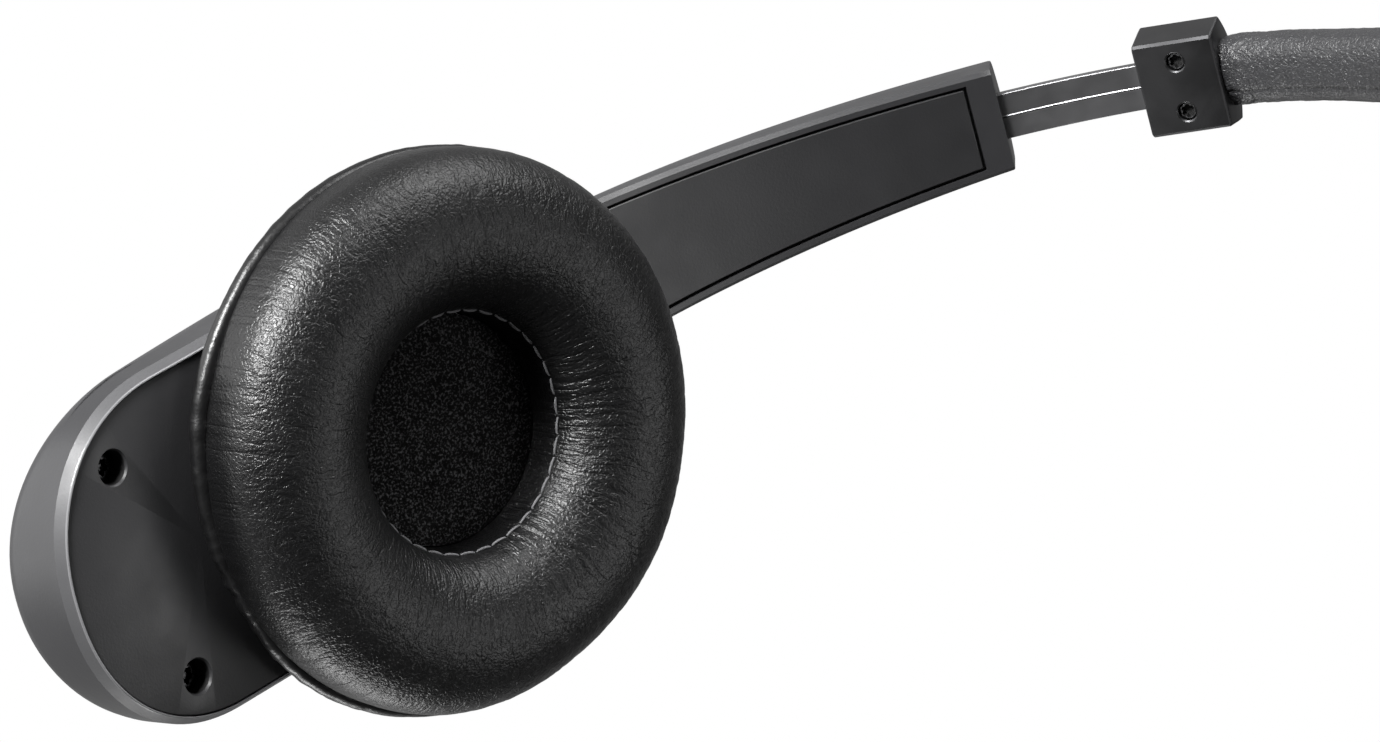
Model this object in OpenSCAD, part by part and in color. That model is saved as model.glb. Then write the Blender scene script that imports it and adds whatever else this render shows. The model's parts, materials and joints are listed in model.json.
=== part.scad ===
// Over-ear office headset with a wire-thin padded headband, two arc sliders,
// tilting ear cushions and a swinging microphone boom. Millimetres, +Z up.
// The origin lies midway between the two ear centres. The wearer faces -Y,
// so the right ear is at -X. Each ear is drawn in an ear frame whose +X
// points at the wearer's head, and the left ear is its mirror image.

/* [Span] */
// Half the distance between the seam planes of the two ear cushions
half_span = 58; // [56:1:62]

/* [Ear cushion] */
// Outside diameter of the ear cushion
cushion_d = 64; // [62:0.5:65]
// Radius of the cushion's ear hole
cushion_hole_r = 13.6; // [13.5:0.1:14]
// Height of the cushion in front of its seam
cushion_h = 11.4; // [10.5:0.1:12]

/* [Ear pod] */
// Half width of the pod, and radius of its round ends
pod_r = 20.3; // [19.8:0.1:20.6]
// Distance from the ear centre to the centre of the lower round end
pod_low = 32; // [31:0.5:33]
// Height of the centre of the upper round end
pod_high = 8; // [7:0.5:9]
// Depth of the pod at the crown of its outer side
pod_depth = 15.3; // [15.2:0.1:15.8]
// Lean of the pod away from the upright cushion, in degrees
pod_lean = 7; // [6.5:0.1:7.2]
// Wall thickness of the moulded shells
wall = 1.6; // [1.4:0.1:1.7]

/* [Arm] */
// Radius of the arc that the arm's inner face follows
arm_r = 100; // [99:0.5:101]
// Arc angle at which the arm ends, from upright
arm_end = 31.25; // [31:0.05:31.5]
// Lean of the arm's end face, which squares it up to the bar
arm_face = 42; // [39:0.5:43]
// Half width of the arm at its upper end
arm_tip_w = 6.43; // [6.3:0.05:6.8]
// Thickness of the arm at its crown
arm_t = 7.2; // [7.1:0.1:7.6]

/* [Slider] */
// Radius of the arc that the slider bar follows
bar_r = 72; // [71:0.5:74]
// Arc angle of the arm at the bar's root, just inside the arm's end
bar_root = 30.9; // [30.5:0.1:31]
// Angle of the bar at its root, from upright
bar_start = 39.5; // [39:0.1:40]
// Width of the bar
bar_w = 5.6; // [5.4:0.1:5.8]
// Thickness of the bar
bar_t = 1.4; // [1.2:0.1:1.4]
// Length of bar from its root to the clamp at rest
bar_shown = 18.8; // [18:0.1:19.5]
// Length of bar from its root into the arm at rest
bar_held = 20; // [19:0.5:20.5]
// Clearance between the bar and its channel
slide_gap = 0.08; // [0.06:0.01:0.1]

/* [Headband] */
// Length of the clamp block along the band
clamp_l = 10; // [9.5:0.1:10.5]
// Width of the clamp block
clamp_w = 11.5; // [11:0.1:12]
// Radius of the headband's shoulder
shoulder_r = 42; // [41:0.5:44]
// Angle at which the shoulder meets the flat top arc, from upright
knee = 80; // [79:0.5:81]
// Half width of the leather sleeve at the clamp
sleeve_w = 4.3; // [4.2:0.1:4.5]
// Half width of the leather sleeve at the crown
sleeve_crown_w = 5.2; // [4.6:0.1:6.4]

/* [Boom] */
// Angle of the boom below the horizontal at rest
boom_drop = 35; // [30:1:40]
// Radius of the boom's curve towards the mouth
boom_bend_r = 130; // [120:5:150]
// Angle through which the boom curves
boom_bend = 37; // [30:1:38]

/* [Hidden] */
$fn = 64;
eps = 0.01;
deg = 180 / PI;

// The pod's inner face crosses the ear axis here, in the ear frame
pod_x = -6.44;
pod_z = -0.15;
// The arm's arc is centred here, so that it leaves the pod at its lean
arm_c = [81, 41.8];
// Depth of the bar's middle below the arm's inner face, at the bar's root
bar_depth = 2.2;
// Travel of the ear along the bar: pushed in, and pulled out
travel_in = 14;
travel_out = 12;

// A point on an arc that is centred at c: angle a is the arc's lean from
// upright, and [x, z] is returned
function on_arc(c, r, a) = [c[0] - r * cos(a), c[1] + r * sin(a)];
// Outward direction across such an arc
function outward(a) = [-cos(a), sin(a)];

bar_at = on_arc(arm_c, arm_r, bar_root) + bar_depth * outward(bar_root);
bar_c = bar_at - bar_r * outward(bar_start);
bar_tip = bar_start - bar_held / bar_r * deg;
clamp_a = bar_start + (bar_shown + clamp_l / 2) / bar_r * deg;
channel_end = bar_tip - (travel_in + 0.6) / bar_r * deg;

// The steel band lies on the bar's outer side inside the clamp
band_t = 0.8;
band_w = 6;
band_off = bar_t / 2 + band_t / 2 + 0.1;
clamp_at = on_arc(bar_c, bar_r, clamp_a);
band_at = clamp_at + band_off * outward(clamp_a);
shoulder_c = band_at - shoulder_r * outward(clamp_a);
knee_at = on_arc(shoulder_c, shoulder_r, knee);
top_r = (half_span - knee_at[0]) / cos(knee);
top_c = [half_span, knee_at[1] - top_r * sin(knee)];
sleeve_start = clamp_a + (clamp_l / 2 + 0.6) / shoulder_r * deg;

// Tilt axis of the cushion, in the ear frame
tilt_x = -10.5;
pin_r = 1.5;
// The same axis in the pod's own frame
tilt_u = (tilt_x - pod_x) * cos(pod_lean) - pod_z * sin(pod_lean);
tilt_v = -(tilt_x - pod_x) * sin(pod_lean) - pod_z * cos(pod_lean);

// Screw places on the inner cover, as [y, z] in the pod's frame
cover_screw_at = [[-12.4, -40.9], [14.1, -37.8], [-13.4, 15.5], [13.4, 15.5]];
bracket_screw_z = [-11, 11];
// Rear of the pod's flat outer seat, and the depth of the boom's middle
seat_x = -15;
boom_x = -18;

shell_colour = [0.16, 0.16, 0.17];
cover_colour = [0.12, 0.12, 0.125];
leather_colour = [0.05, 0.05, 0.052];
steel_colour = [0.4, 0.41, 0.42];
plastic_colour = [0.1, 0.1, 0.105];

// ---- Frames -------------------------------------------------------------

module on_right() {
    translate([-half_span, 0, 0]) children();
}

module on_left() {
    mirror([1, 0, 0]) on_right() children();
}

// The pod's frame: x is 0 on its inner face and falls into the pod
module in_pod() {
    translate([pod_x, 0, pod_z]) rotate([0, -pod_lean, 0]) children();
}

// Runs children along the pod's x axis: their z becomes x
module facing_x(x = 0, y = 0, z = 0) {
    translate([x, y, z]) rotate([0, 90, 0]) children();
}

// Sweeps a section, drawn as [radius, y], along an arc in the x-z plane
module along_arc(c, a0, a1) {
    translate([c[0], 0, c[1]]) rotate([90, 0, 0])
        rotate([0, 0, 180 - a1])
            rotate_extrude(angle = a1 - a0, $fn = 180) children();
}

module arc_strip(c, r, t, w, a0, a1) {
    along_arc(c, a0, a1)
        translate([r - t / 2, -w / 2]) square([t, w]);
}

// Stands a part on the clamp block: x is outward, z runs along the band
module in_clamp() {
    translate([clamp_at[0], 0, clamp_at[1]]) rotate([0, clamp_a, 0])
        mirror([1, 0, 0]) children();
}

// ---- Shapes that repeat -------------------------------------------------

// A long outline with two round ends, in [y, z]
module pod_outline(r) {
    translate([0, -pod_low]) circle(r, $fn = 96);
    translate([0, pod_high]) circle(r, $fn = 96);
    translate([-r, -pod_low]) square([2 * r, pod_low + pod_high]);
}

// Extrudes an outline drawn as [y, z] from x0 to x1
module plate_x(x0, x1) {
    translate([x0, 0, 0]) rotate([90, 0, 90])
        linear_extrude(x1 - x0) children();
}

// The outer side of the pod is crowned across and, gently, along
module crown(inset, front) {
    side_r = 34.5;
    long_r = 400;
    back = -pod_depth + inset;
    intersection() {
        translate([back + side_r - inset, 0, -70])
            cylinder(h = 140, r = side_r - inset, $fn = 180);
        translate([back + long_r - inset, 30, 10]) rotate([90, 0, 0])
            cylinder(h = 60, r = long_r - inset, $fn = 360);
        translate([back - 1, -30, -70]) cube([front - back + 1, 60, 140]);
    }
}

module pod_block(inset, front) {
    intersection() {
        crown(inset, front);
        plate_x(-pod_depth - 1, front) pod_outline(pod_r - inset);
    }
}

// Half width of the arm at height z in the ear frame
function arm_half(z) = arm_tip_w + (93.1 - z) * 0.0475;

module arm_outline(inset, z0, z1) {
    polygon([
        [-arm_half(z0) + inset, z0], [arm_half(z0) - inset, z0],
        [arm_half(z1) - inset, z1], [-arm_half(z1) + inset, z1]
    ]);
}

// The arm is flat towards the head and domed outside
module arm_section() {
    dome_r = 11;
    intersection() {
        translate([arm_r, -12]) square([arm_t, 24]);
        translate([arm_r + arm_t - dome_r, 0]) circle(dome_r, $fn = 96);
    }
}

module arm_block() {
    end = on_arc(arm_c, arm_r, arm_end);
    intersection() {
        along_arc(arm_c, -12, arm_end + 1.2) arm_section();
        plate_x(-40, 10) arm_outline(0, 10, 100);
        translate([end[0], 0, end[1]]) rotate([0, arm_face, 0])
            translate([-60, -20, -150]) cube([120, 40, 150]);
    }
}

// The shell narrows from the pod to the arm along a cosine curve
neck_v0 = 12;
neck_v1 = 46;
function neck_half(v) =
    8.6 + 10.9 * (1 + cos(180 * (v - neck_v0) / (neck_v1 - neck_v0))) / 2;

module neck_block() {
    front = -8.6;
    intersection() {
        neck_crown();
        translate([-pod_depth - 1, -30, 0]) cube([40, 60, 70]);
        plate_x(-pod_depth - 1, front) polygon(concat(
            [for (v = [neck_v0 : 2 : neck_v1]) [neck_half(v), v]],
            [for (v = [neck_v1 : -2 : neck_v0]) [-neck_half(v), v]]
        ));
    }
}

// A cone that touches the pod's crown along a straight line, so that the
// crown grows rounder from the pod up to the arm
module neck_crown() {
    apex_v = 61;
    half_angle = 34.6;
    reach = 75;
    translate([-pod_depth, 0, apex_v]) rotate([0, 180 - half_angle, 0])
        cylinder(h = reach, r1 = 0, r2 = reach * tan(half_angle), $fn = 180);
}

module moulded_screw_posts() {
    intersection() {
        pod_block(0.5, 0);
        union() {
            for (p = cover_screw_at)
                facing_x(-pod_depth, p[0], p[1]) cylinder(h = 10, r = 2.6);
            for (z = bracket_screw_z)
                facing_x(-pod_depth, 0, z) cylinder(h = 6.1, r = 2.4);
        }
    }
}

module moulded_screw_pilots() {
    for (p = cover_screw_at)
        facing_x(-11.5, p[0], p[1]) cylinder(h = 7, r = 1.02);
    for (z = bracket_screw_z)
        facing_x(-13.4, 0, z) cylinder(h = 5, r = 1.02);
}

module shell_body() {
    difference() {
        union() {
            in_pod() pod_block(0, 0);
            in_pod() neck_block();
            in_pod() facing_x(seat_x, 0, -pod_low) cylinder(h = 5, r = 11.5);
            arm_block();
        }
        in_pod() pod_block(wall, 1);
        in_pod() plate_x(-2.4, 1) pod_outline(pod_r - 0.9);
        bar_channel();
        trim_recess();
        cable_duct();
    }
    in_pod() difference() {
        moulded_screw_posts();
        moulded_screw_pilots();
    }
}

module bar_channel() {
    arc_strip(bar_c, bar_r, bar_t + 2 * slide_gap, bar_w + 2 * slide_gap,
        channel_end, bar_start + 4);
    detent_pocket();
}

// A pocket beside the channel holds the detent spring
module detent_pocket() {
    translate([0, bar_w / 2 + 0.55, 0])
        arc_strip(bar_c, bar_r, 1.6, 1.4, bar_start - 11, bar_start - 2.5);
}

trim_depth = 0.9;

module trim_strip(inset, depth, end_gap) {
    intersection() {
        along_arc(arm_c, -4 + end_gap, arm_end - 1.9 - end_gap)
            translate([arm_r - 0.5, -12]) square([depth + 0.5, 24]);
        plate_x(-40, 10) arm_outline(inset, 10, 100);
    }
}

module trim_recess() {
    trim_strip(1.15, trim_depth, 0);
}

// A narrow way for the wires, from the pod's cavity to the bar's channel
module cable_duct() {
    in_pod() translate([-12, -1, 21]) rotate([0, 5.2, 0]) cube([2, 2, 46]);
}

module screw(head_r, head_h, shank_r, shank_l) {
    difference() {
        union() {
            cylinder(h = head_h, r = head_r);
            translate([0, 0, -shank_l]) cylinder(h = shank_l + eps, r = shank_r);
        }
        translate([0, 0, head_h - 0.8]) cylinder(h = 1, r = head_r * 0.5, $fn = 6);
    }
}

// ---- One ear ------------------------------------------------------------

module inner_cover_form() {
    in_pod() difference() {
        union() {
            plate_x(-2.2, -0.2) pod_outline(pod_r - 1);
            for (p = cover_screw_at)
                facing_x(-5.2, p[0], p[1]) cylinder(h = 3.2, r = 2.6);
        }
        facing_x(-4, 0, tilt_v) cylinder(h = 8, r = 11, $fn = 96);
        for (p = cover_screw_at) {
            facing_x(-3.6, p[0], p[1]) cylinder(h = 5, r = 1.95);
            facing_x(-6, p[0], p[1]) cylinder(h = 4, r = 1.15);
        }
    }
}

module cover_screws_form() {
    in_pod() for (p = cover_screw_at)
        facing_x(-3.55, p[0], p[1]) screw(1.85, 1.3, 1, 6.5);
}

module arm_trim_form() {
    trim_strip(1.4, trim_depth - 0.1, 0.14);
}

// A leaf beside the bar: a thin blade on two feet, with a bump that clears
// the bar
module detent_spring_form() {
    edge = bar_w / 2;
    spring_part(1, edge + 0.55, edge + 0.75, 10.5, 3);
    spring_part(1.2, edge + 0.62, edge + 1.2, 10.6, 9.8);
    spring_part(1.2, edge + 0.62, edge + 1.2, 3.7, 2.9);
    spring_part(0.8, edge + 0.12, edge + 0.66, 7.4, 6.2);
}

module spring_part(t, y0, y1, below0, below1) {
    translate([0, (y0 + y1) / 2, 0])
        arc_strip(bar_c, bar_r, t, y1 - y0,
            bar_start - below0, bar_start - below1);
}

module pivot_bracket_form() {
    base_x = -9.2;
    in_pod() difference() {
        union() {
            translate([base_x, -6.6, -14]) cube([1.2, 13.2, 28]);
            for (y = [-6.2, 4.2]) {
                translate([base_x, y, tilt_v - 3.2])
                    cube([tilt_u - base_x, 2, 6.4]);
                translate([tilt_u, y, tilt_v]) rotate([-90, 0, 0])
                    cylinder(h = 2, r = 3.2);
            }
        }
        translate([tilt_u, -8, tilt_v]) rotate([-90, 0, 0])
            cylinder(h = 16, r = pin_r + 0.005);
        for (z = bracket_screw_z)
            facing_x(base_x - 1, 0, z) cylinder(h = 3, r = 1.15);
    }
}

module bracket_screws_form() {
    in_pod() for (z = bracket_screw_z)
        facing_x(-7.95, 0, z) screw(1.8, 1.1, 1, 4.6);
}

module pivot_pin_form() {
    translate([tilt_x, -6.6, 0]) rotate([-90, 0, 0])
        cylinder(h = 13.2, r = pin_r);
}

// The tilting cup behind the cushion, with the barrel that takes the pin
module speaker_capsule_form() {
    difference() {
        union() {
            facing_x() rotate_extrude($fn = 128) polygon([
                [0, -6.6], [8.5, -6.6], [8.5, -3.9], [16, -3.9], [16, -1.6],
                [31, -1.6], [31, -0.4], [13.6, -0.4], [13.6, -2.9],
                [7.3, -2.9], [7.3, -5.4], [0, -5.4]
            ]);
            translate([tilt_x, -3.9, -2.2]) cube([4, 7.8, 4.4]);
            translate([tilt_x, -3.9, 0]) rotate([-90, 0, 0])
                cylinder(h = 7.8, r = 3.1);
        }
        translate([tilt_x, -5, 0]) rotate([-90, 0, 0])
            cylinder(h = 10, r = pin_r + 0.03);
    }
}

module speaker_driver_form() {
    facing_x() rotate_extrude($fn = 96) polygon([
        [0, -5.3], [6.8, -5.3], [6.8, -2.8], [13.4, -2.8], [13.4, -1.3],
        [12.2, -1.3], [12.2, -2], [0, -2]
    ]);
}

module speaker_cone_form() {
    facing_x() rotate_extrude($fn = 96) polygon([
        [0, -0.9], [3, -1.1], [5.5, -1.8], [12, -0.9], [12.7, -1.2],
        [13.3, -1.2], [13.3, -0.9], [12.6, -0.6], [11.8, -0.5],
        [5.5, -1.4], [3, -0.8], [0, -0.6]
    ]);
}

module pad_ring_form() {
    facing_x() rotate_extrude($fn = 128)
        translate([17, -0.3]) square([13.4, 0.9]);
}

// A plump ring: flat behind, round over the front
module cushion_form() {
    back = 0.7;
    mid_r = (cushion_d / 2 + cushion_hole_r) / 2;
    half_r = (cushion_d / 2 - cushion_hole_r) / 2;
    facing_x() rotate_extrude($fn = 128) polygon([
        for (a = [-36 : 12 : 216])
            let (rise = (cushion_h - back) * (sin(a) + sin(36)) / (1 + sin(36)))
            [mid_r + half_r * cos(a), back + rise]
    ]);
}

module scrim_form() {
    facing_x(0.65) cylinder(h = 0.4, r = 14.9, $fn = 96);
}

module slider_bar_form() {
    notch_pitch = 3;
    difference() {
        arc_strip(bar_c, bar_r, bar_t, bar_w, bar_tip,
            clamp_a + 4 / bar_r * deg);
        for (i = [1 : 6])
            notch(bar_tip + i * notch_pitch / bar_r * deg);
    }
}

// A shallow scallop in the bar's edge, for the detent spring
module notch(a) {
    at = on_arc(bar_c, bar_r, a);
    translate([at[0], bar_w / 2 + 0.35, at[1]]) rotate([0, a - 90, 0])
        translate([0, 0, -2]) cylinder(h = 4, r = 0.7, $fn = 24);
}

clamp_in = 3;
clamp_out = 4.5;
clamp_flare = 1.3;
clamp_back_r = 9.5;
clamp_screw_y = 3.15;

module clamp_block_form() {
    slot = 0.06;
    difference() {
        in_clamp() intersection() {
            translate([0, 0, -clamp_l / 2]) linear_extrude(clamp_l)
                polygon([
                    [-clamp_in, -clamp_w / 2], [-clamp_in, clamp_w / 2],
                    [clamp_out, clamp_w / 2 + clamp_flare],
                    [clamp_out, -clamp_w / 2 - clamp_flare]
                ]);
            translate([clamp_out - clamp_back_r, 0, -clamp_l / 2 - 1])
                cylinder(h = clamp_l + 2, r = clamp_back_r, $fn = 96);
        }
        arc_strip(bar_c, bar_r, bar_t + 2 * slot, bar_w + 2 * slot,
            clamp_a - 9, clamp_a + 4.1 / bar_r * deg);
        arc_strip(shoulder_c, shoulder_r, band_t + 2 * slot,
            band_w + 2 * slot, clamp_a - 4.1 / shoulder_r * deg, clamp_a + 12);
        arc_strip(shoulder_c, shoulder_r + 0.95, 0.7, 2.8,
            clamp_a - 12, clamp_a + 12);
        in_clamp() for (y = [-clamp_screw_y, clamp_screw_y])
            facing_x(-clamp_in - 1, y, 0) cylinder(h = 3.2, r = 1.15);
    }
}

// Two socket set screws that bear on the bar
module clamp_screws_form() {
    in_clamp() for (y = [-clamp_screw_y, clamp_screw_y])
        facing_x(-clamp_in + 0.6, y, 0) difference() {
            cylinder(h = 1.55, r = 1.1);
            translate([0, 0, -0.5]) cylinder(h = 1.4, r = 0.6, $fn = 6);
        }
}

// The round seat on the outside carries a blank cap
module end_cap_form() {
    in_pod() facing_x(seat_x - 1.4, 0, -pod_low)
        cylinder(h = 1.35, r = 10.8, $fn = 96);
}

module battery_form() {
    in_pod() translate([-9.6, -9.6, -46]) cube([4.2, 19.2, 30]);
}

// ---- Left ear only ------------------------------------------------------

axle_r = 4;
button_v = 2;
rocker_u = -6;
rocker_v = [-11, -22];
guide_v = 12;

module outer_shell_left_form() {
    difference() {
        shell_body();
        in_pod() {
            facing_x(-20, 0, -pod_low) cylinder(h = 14, r = axle_r + 0.05);
            facing_x(-17, 0, button_v) cylinder(h = 6, r = 5.1);
            facing_x(-17, 6, guide_v) cylinder(h = 6, r = 1.05);
            for (v = rocker_v)
                translate([rocker_u - 1.6, 15, v - 4.1]) cube([3.2, 8, 8.2]);
            translate([-8.9, -4.6, -55]) cube([3.4, 9.2, 10]);
        }
    }
}

module boom_hub_form() {
    in_pod() difference() {
        union() {
            facing_x(-20.4, 0, -pod_low) cylinder(h = 5.3, r = 10.5, $fn = 96);
            facing_x(-15.2, 0, -pod_low) cylinder(h = 5.8, r = axle_r);
            boom_frame() translate([0, 0, 5]) cylinder(h = 9.5, r = stem_r + 0.4);
        }
        facing_x(-10.6, 0, -pod_low) difference() {
            cylinder(h = 0.7, r = 5);
            translate([0, 0, -1]) cylinder(h = 3, r = 3);
        }
        boom_frame() translate([0, 0, 6.9]) cylinder(h = 10, r = stem_r + 0.05);
    }
}

// Its z runs out along the boom and its x is inward
module boom_frame() {
    translate([boom_x, 0, -pod_low]) rotate([90 + boom_drop, 0, 0])
        children();
}

// The boom is a stiff stem, then a thinner curved tube
boom_straight = 26;
stem_r = 2.4;
tube_r = 2.2;

module boom_arm_form() {
    in_pod() boom_frame() {
        translate([0, 0, 7]) cylinder(h = boom_straight - 6, r = stem_r);
        translate([boom_bend_r, 0, boom_straight]) rotate([90, 0, 0])
            rotate([0, 0, 180 - boom_bend])
                rotate_extrude(angle = boom_bend, $fn = 180)
                    translate([boom_bend_r, 0]) circle(tube_r, $fn = 48);
    }
}

// Stands a part on the boom's far end, with z along the boom
module boom_tip() {
    in_pod() boom_frame() translate([boom_bend_r, 0, boom_straight])
        rotate([0, boom_bend, 0]) translate([-boom_bend_r, 0, 0])
            children();
}

mic_l = 15;

module mic_housing_form() {
    boom_tip() difference() {
        union() {
            translate([0, 0, 0.05]) cylinder(h = mic_l, r = 4.2);
            translate([0, 0, mic_l]) sphere(4.2, $fn = 64);
        }
        facing_x(0, 0, mic_l - 2) cylinder(h = 6, r = 3.1);
    }
}

module mic_capsule_form() {
    boom_tip() facing_x(0.1, 0, mic_l - 2) cylinder(h = 2.6, r = 2.9);
}

module mic_grille_form() {
    boom_tip() facing_x(2.9, 0, mic_l - 2) cylinder(h = 0.8, r = 3);
}

module hub_clip_form() {
    in_pod() facing_x(-10.55, 0, -pod_low) difference() {
        cylinder(h = 0.6, r = 5.6);
        translate([0, 0, -1]) cylinder(h = 3, r = 3.03);
    }
}

module circuit_board_form() {
    in_pod() difference() {
        plate_x(-5.4, -4.3) union() {
            translate([0, -pod_low]) circle(15.2, $fn = 96);
            translate([-14, -pod_low]) square([28, 16]);
        }
        for (p = cover_screw_at)
            facing_x(-8, p[0], p[1]) cylinder(h = 6, r = 3.3);
    }
}

module usb_socket_form() {
    in_pod() difference() {
        translate([-8.8, -4.5, -51]) cube([3.2, 9, 7.4]);
        translate([-8.4, -4.1, -52]) cube([2.4, 8.2, 7]);
    }
}

module call_button_form() {
    in_pod() facing_x(0, 0, button_v) {
        translate([0, 0, -16.1]) cylinder(h = 4, r = 5);
        translate([0, 0, -12.7]) cylinder(h = 0.9, r = 6);
    }
}

module volume_button(v) {
    in_pod() {
        translate([rocker_u - 1.5, 17.7, v - 4]) cube([3, pod_r - 17.1, 8]);
        translate([rocker_u - 2.2, 17.1, v - 4.7]) cube([4.4, 0.9, 9.4]);
    }
}

module light_guide_form() {
    in_pod() facing_x(-14.9, 6, guide_v) cylinder(h = 3, r = 1);
}

// ---- Headband -----------------------------------------------------------

// Stations over the arch from one lean angle to its mirror image, each as
// [x, z, lean] in the row frame
function arch(a0, shoulder_steps, top_steps) =
    let (right_half = concat(
        [for (i = [0 : shoulder_steps - 1])
            let (a = a0 + (knee - a0) * i / shoulder_steps,
                 p = on_arc(shoulder_c, shoulder_r, a))
            [p[0] - half_span, p[1], a]],
        [for (i = [0 : top_steps])
            let (a = knee + (90 - knee) * i / top_steps,
                 p = on_arc(top_c, top_r, a))
            [p[0] - half_span, p[1], a]]
    ))
    concat(right_half, [
        for (i = [len(right_half) - 2 : -1 : 0])
            [-right_half[i][0], right_half[i][1], 180 - right_half[i][2]]
    ]);

// A flat strip over the arch, its middle offset outward by off
module band_strip(off, t, w, a0) {
    line = arch(a0, 10, 6);
    edge = function (p, h) [p[0], p[1]] + h * outward(p[2]);
    translate([0, w / 2, 0]) rotate([90, 0, 0]) linear_extrude(w)
        polygon(concat(
            [for (p = line) edge(p, off + t / 2)],
            [for (i = [len(line) - 1 : -1 : 0]) edge(line[i], off - t / 2)]
        ));
}

stations = arch(sleeve_start, 5, 8);
ring_n = 20;

// The sleeve widens from the clamps to the crown
function widen(x) = (1 + cos(180 * x / 31)) / 2;
function sleeve_half(x) =
    abs(x) > 31 ? sleeve_w
    : sleeve_w + (sleeve_crown_w - sleeve_w) * widen(x);

function ring(p, w, t) = [
    for (j = [0 : ring_n - 1])
        let (b = 360 * j / ring_n, o = outward(p[2]) * t * sin(b))
        [p[0] + o[0], w * cos(b), p[1] + o[1]]
];

// A closed tube between an outer and an inner ring at every station
module band_tube(outer, inner) {
    n = len(stations);
    skin = function (base, flip) [
        for (i = [0 : n - 2], j = [0 : ring_n - 1])
            let (k = (j + 1) % ring_n, a = base + i * ring_n)
            flip ? [a + j, a + k, a + ring_n + k, a + ring_n + j]
            : [a + j, a + ring_n + j, a + ring_n + k, a + k]
    ];
    inner_base = n * ring_n;
    ends = [
        for (j = [0 : ring_n - 1])
            let (k = (j + 1) % ring_n, last = (n - 1) * ring_n)
            each [
                [j, k, inner_base + k, inner_base + j],
                [last + k, last + j, inner_base + last + j,
                    inner_base + last + k]
            ]
    ];
    polyhedron(concat(outer, inner),
        concat(skin(0, false), skin(inner_base, true), ends));
}

function rings(grow_w, grow_t) = [
    for (p = stations)
        each ring(p, sleeve_half(p[0]) + grow_w,
            3 + 0.18 * (sleeve_half(p[0]) - sleeve_w) + grow_t)
];
function hole_rings(w, t) = [for (p = stations) each ring(p, w, t)];

// ---- Nodes --------------------------------------------------------------

module steel_band() {
    color(steel_colour)
        band_strip(0, band_t, band_w, clamp_a - 4 / shoulder_r * deg);
}
module foam_padding() {
    color("dimgray") band_tube(rings(-0.75, -0.75), hole_rings(3.5, 1.55));
}
module leather_sleeve() {
    color(leather_colour) band_tube(rings(0, 0), rings(-0.6, -0.6));
}
module link_cable() {
    color("darkred") band_strip(0.95, 0.4, 2.4, clamp_a - 11.5);
}

module right_slider_bar() { color(steel_colour) on_right() slider_bar_form(); }
module right_clamp_block() { color(steel_colour) on_right() clamp_block_form(); }
module right_clamp_screws() { color("silver") on_right() clamp_screws_form(); }
module right_outer_shell() { color(shell_colour) on_right() shell_body(); }
module right_inner_cover() { color(cover_colour) on_right() inner_cover_form(); }
module right_cover_screws() { color("gray") on_right() cover_screws_form(); }
module right_arm_trim() { color(cover_colour) on_right() arm_trim_form(); }
module right_detent_spring() { color("silver") on_right() detent_spring_form(); }
module right_pivot_bracket() { color(plastic_colour) on_right() pivot_bracket_form(); }
module right_bracket_screws() { color("gray") on_right() bracket_screws_form(); }
module right_pivot_pin() { color("silver") on_right() pivot_pin_form(); }
module right_speaker_capsule() { color(plastic_colour) on_right() speaker_capsule_form(); }
module right_speaker_driver() { color("gray") on_right() speaker_driver_form(); }
module right_speaker_cone() { color("darkslategray") on_right() speaker_cone_form(); }
module right_pad_ring() { color(plastic_colour) on_right() pad_ring_form(); }
module right_cushion() { color(leather_colour) on_right() cushion_form(); }
module right_scrim() { color("black") on_right() scrim_form(); }
module right_end_cap() { color(cover_colour) on_right() end_cap_form(); }
module right_battery() { color("silver") on_right() battery_form(); }

module left_slider_bar() { color(steel_colour) on_left() slider_bar_form(); }
module left_clamp_block() { color(steel_colour) on_left() clamp_block_form(); }
module left_clamp_screws() { color("silver") on_left() clamp_screws_form(); }
module left_outer_shell() { color(shell_colour) on_left() outer_shell_left_form(); }
module left_inner_cover() { color(cover_colour) on_left() inner_cover_form(); }
module left_cover_screws() { color("gray") on_left() cover_screws_form(); }
module left_arm_trim() { color(cover_colour) on_left() arm_trim_form(); }
module left_detent_spring() { color("silver") on_left() detent_spring_form(); }
module left_pivot_bracket() { color(plastic_colour) on_left() pivot_bracket_form(); }
module left_bracket_screws() { color("gray") on_left() bracket_screws_form(); }
module left_pivot_pin() { color("silver") on_left() pivot_pin_form(); }
module left_speaker_capsule() { color(plastic_colour) on_left() speaker_capsule_form(); }
module left_speaker_driver() { color("gray") on_left() speaker_driver_form(); }
module left_speaker_cone() { color("darkslategray") on_left() speaker_cone_form(); }
module left_pad_ring() { color(plastic_colour) on_left() pad_ring_form(); }
module left_cushion() { color(leather_colour) on_left() cushion_form(); }
module left_scrim() { color("black") on_left() scrim_form(); }

module boom_hub() { color(shell_colour) on_left() boom_hub_form(); }
module hub_clip() { color("silver") on_left() hub_clip_form(); }
module boom_arm() { color(plastic_colour) on_left() boom_arm_form(); }
module mic_housing() { color(plastic_colour) on_left() mic_housing_form(); }
module mic_capsule() { color("silver") on_left() mic_capsule_form(); }
module mic_grille() { color("dimgray") on_left() mic_grille_form(); }
module circuit_board() { color("darkgreen") on_left() circuit_board_form(); }
module usb_socket() { color("silver") on_left() usb_socket_form(); }
module call_button() { color(cover_colour) on_left() call_button_form(); }
module volume_up() { color(cover_colour) on_left() volume_button(rocker_v[0]); }
module volume_down() { color(cover_colour) on_left() volume_button(rocker_v[1]); }
module light_guide() { color("white") on_left() light_guide_form(); }

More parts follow.
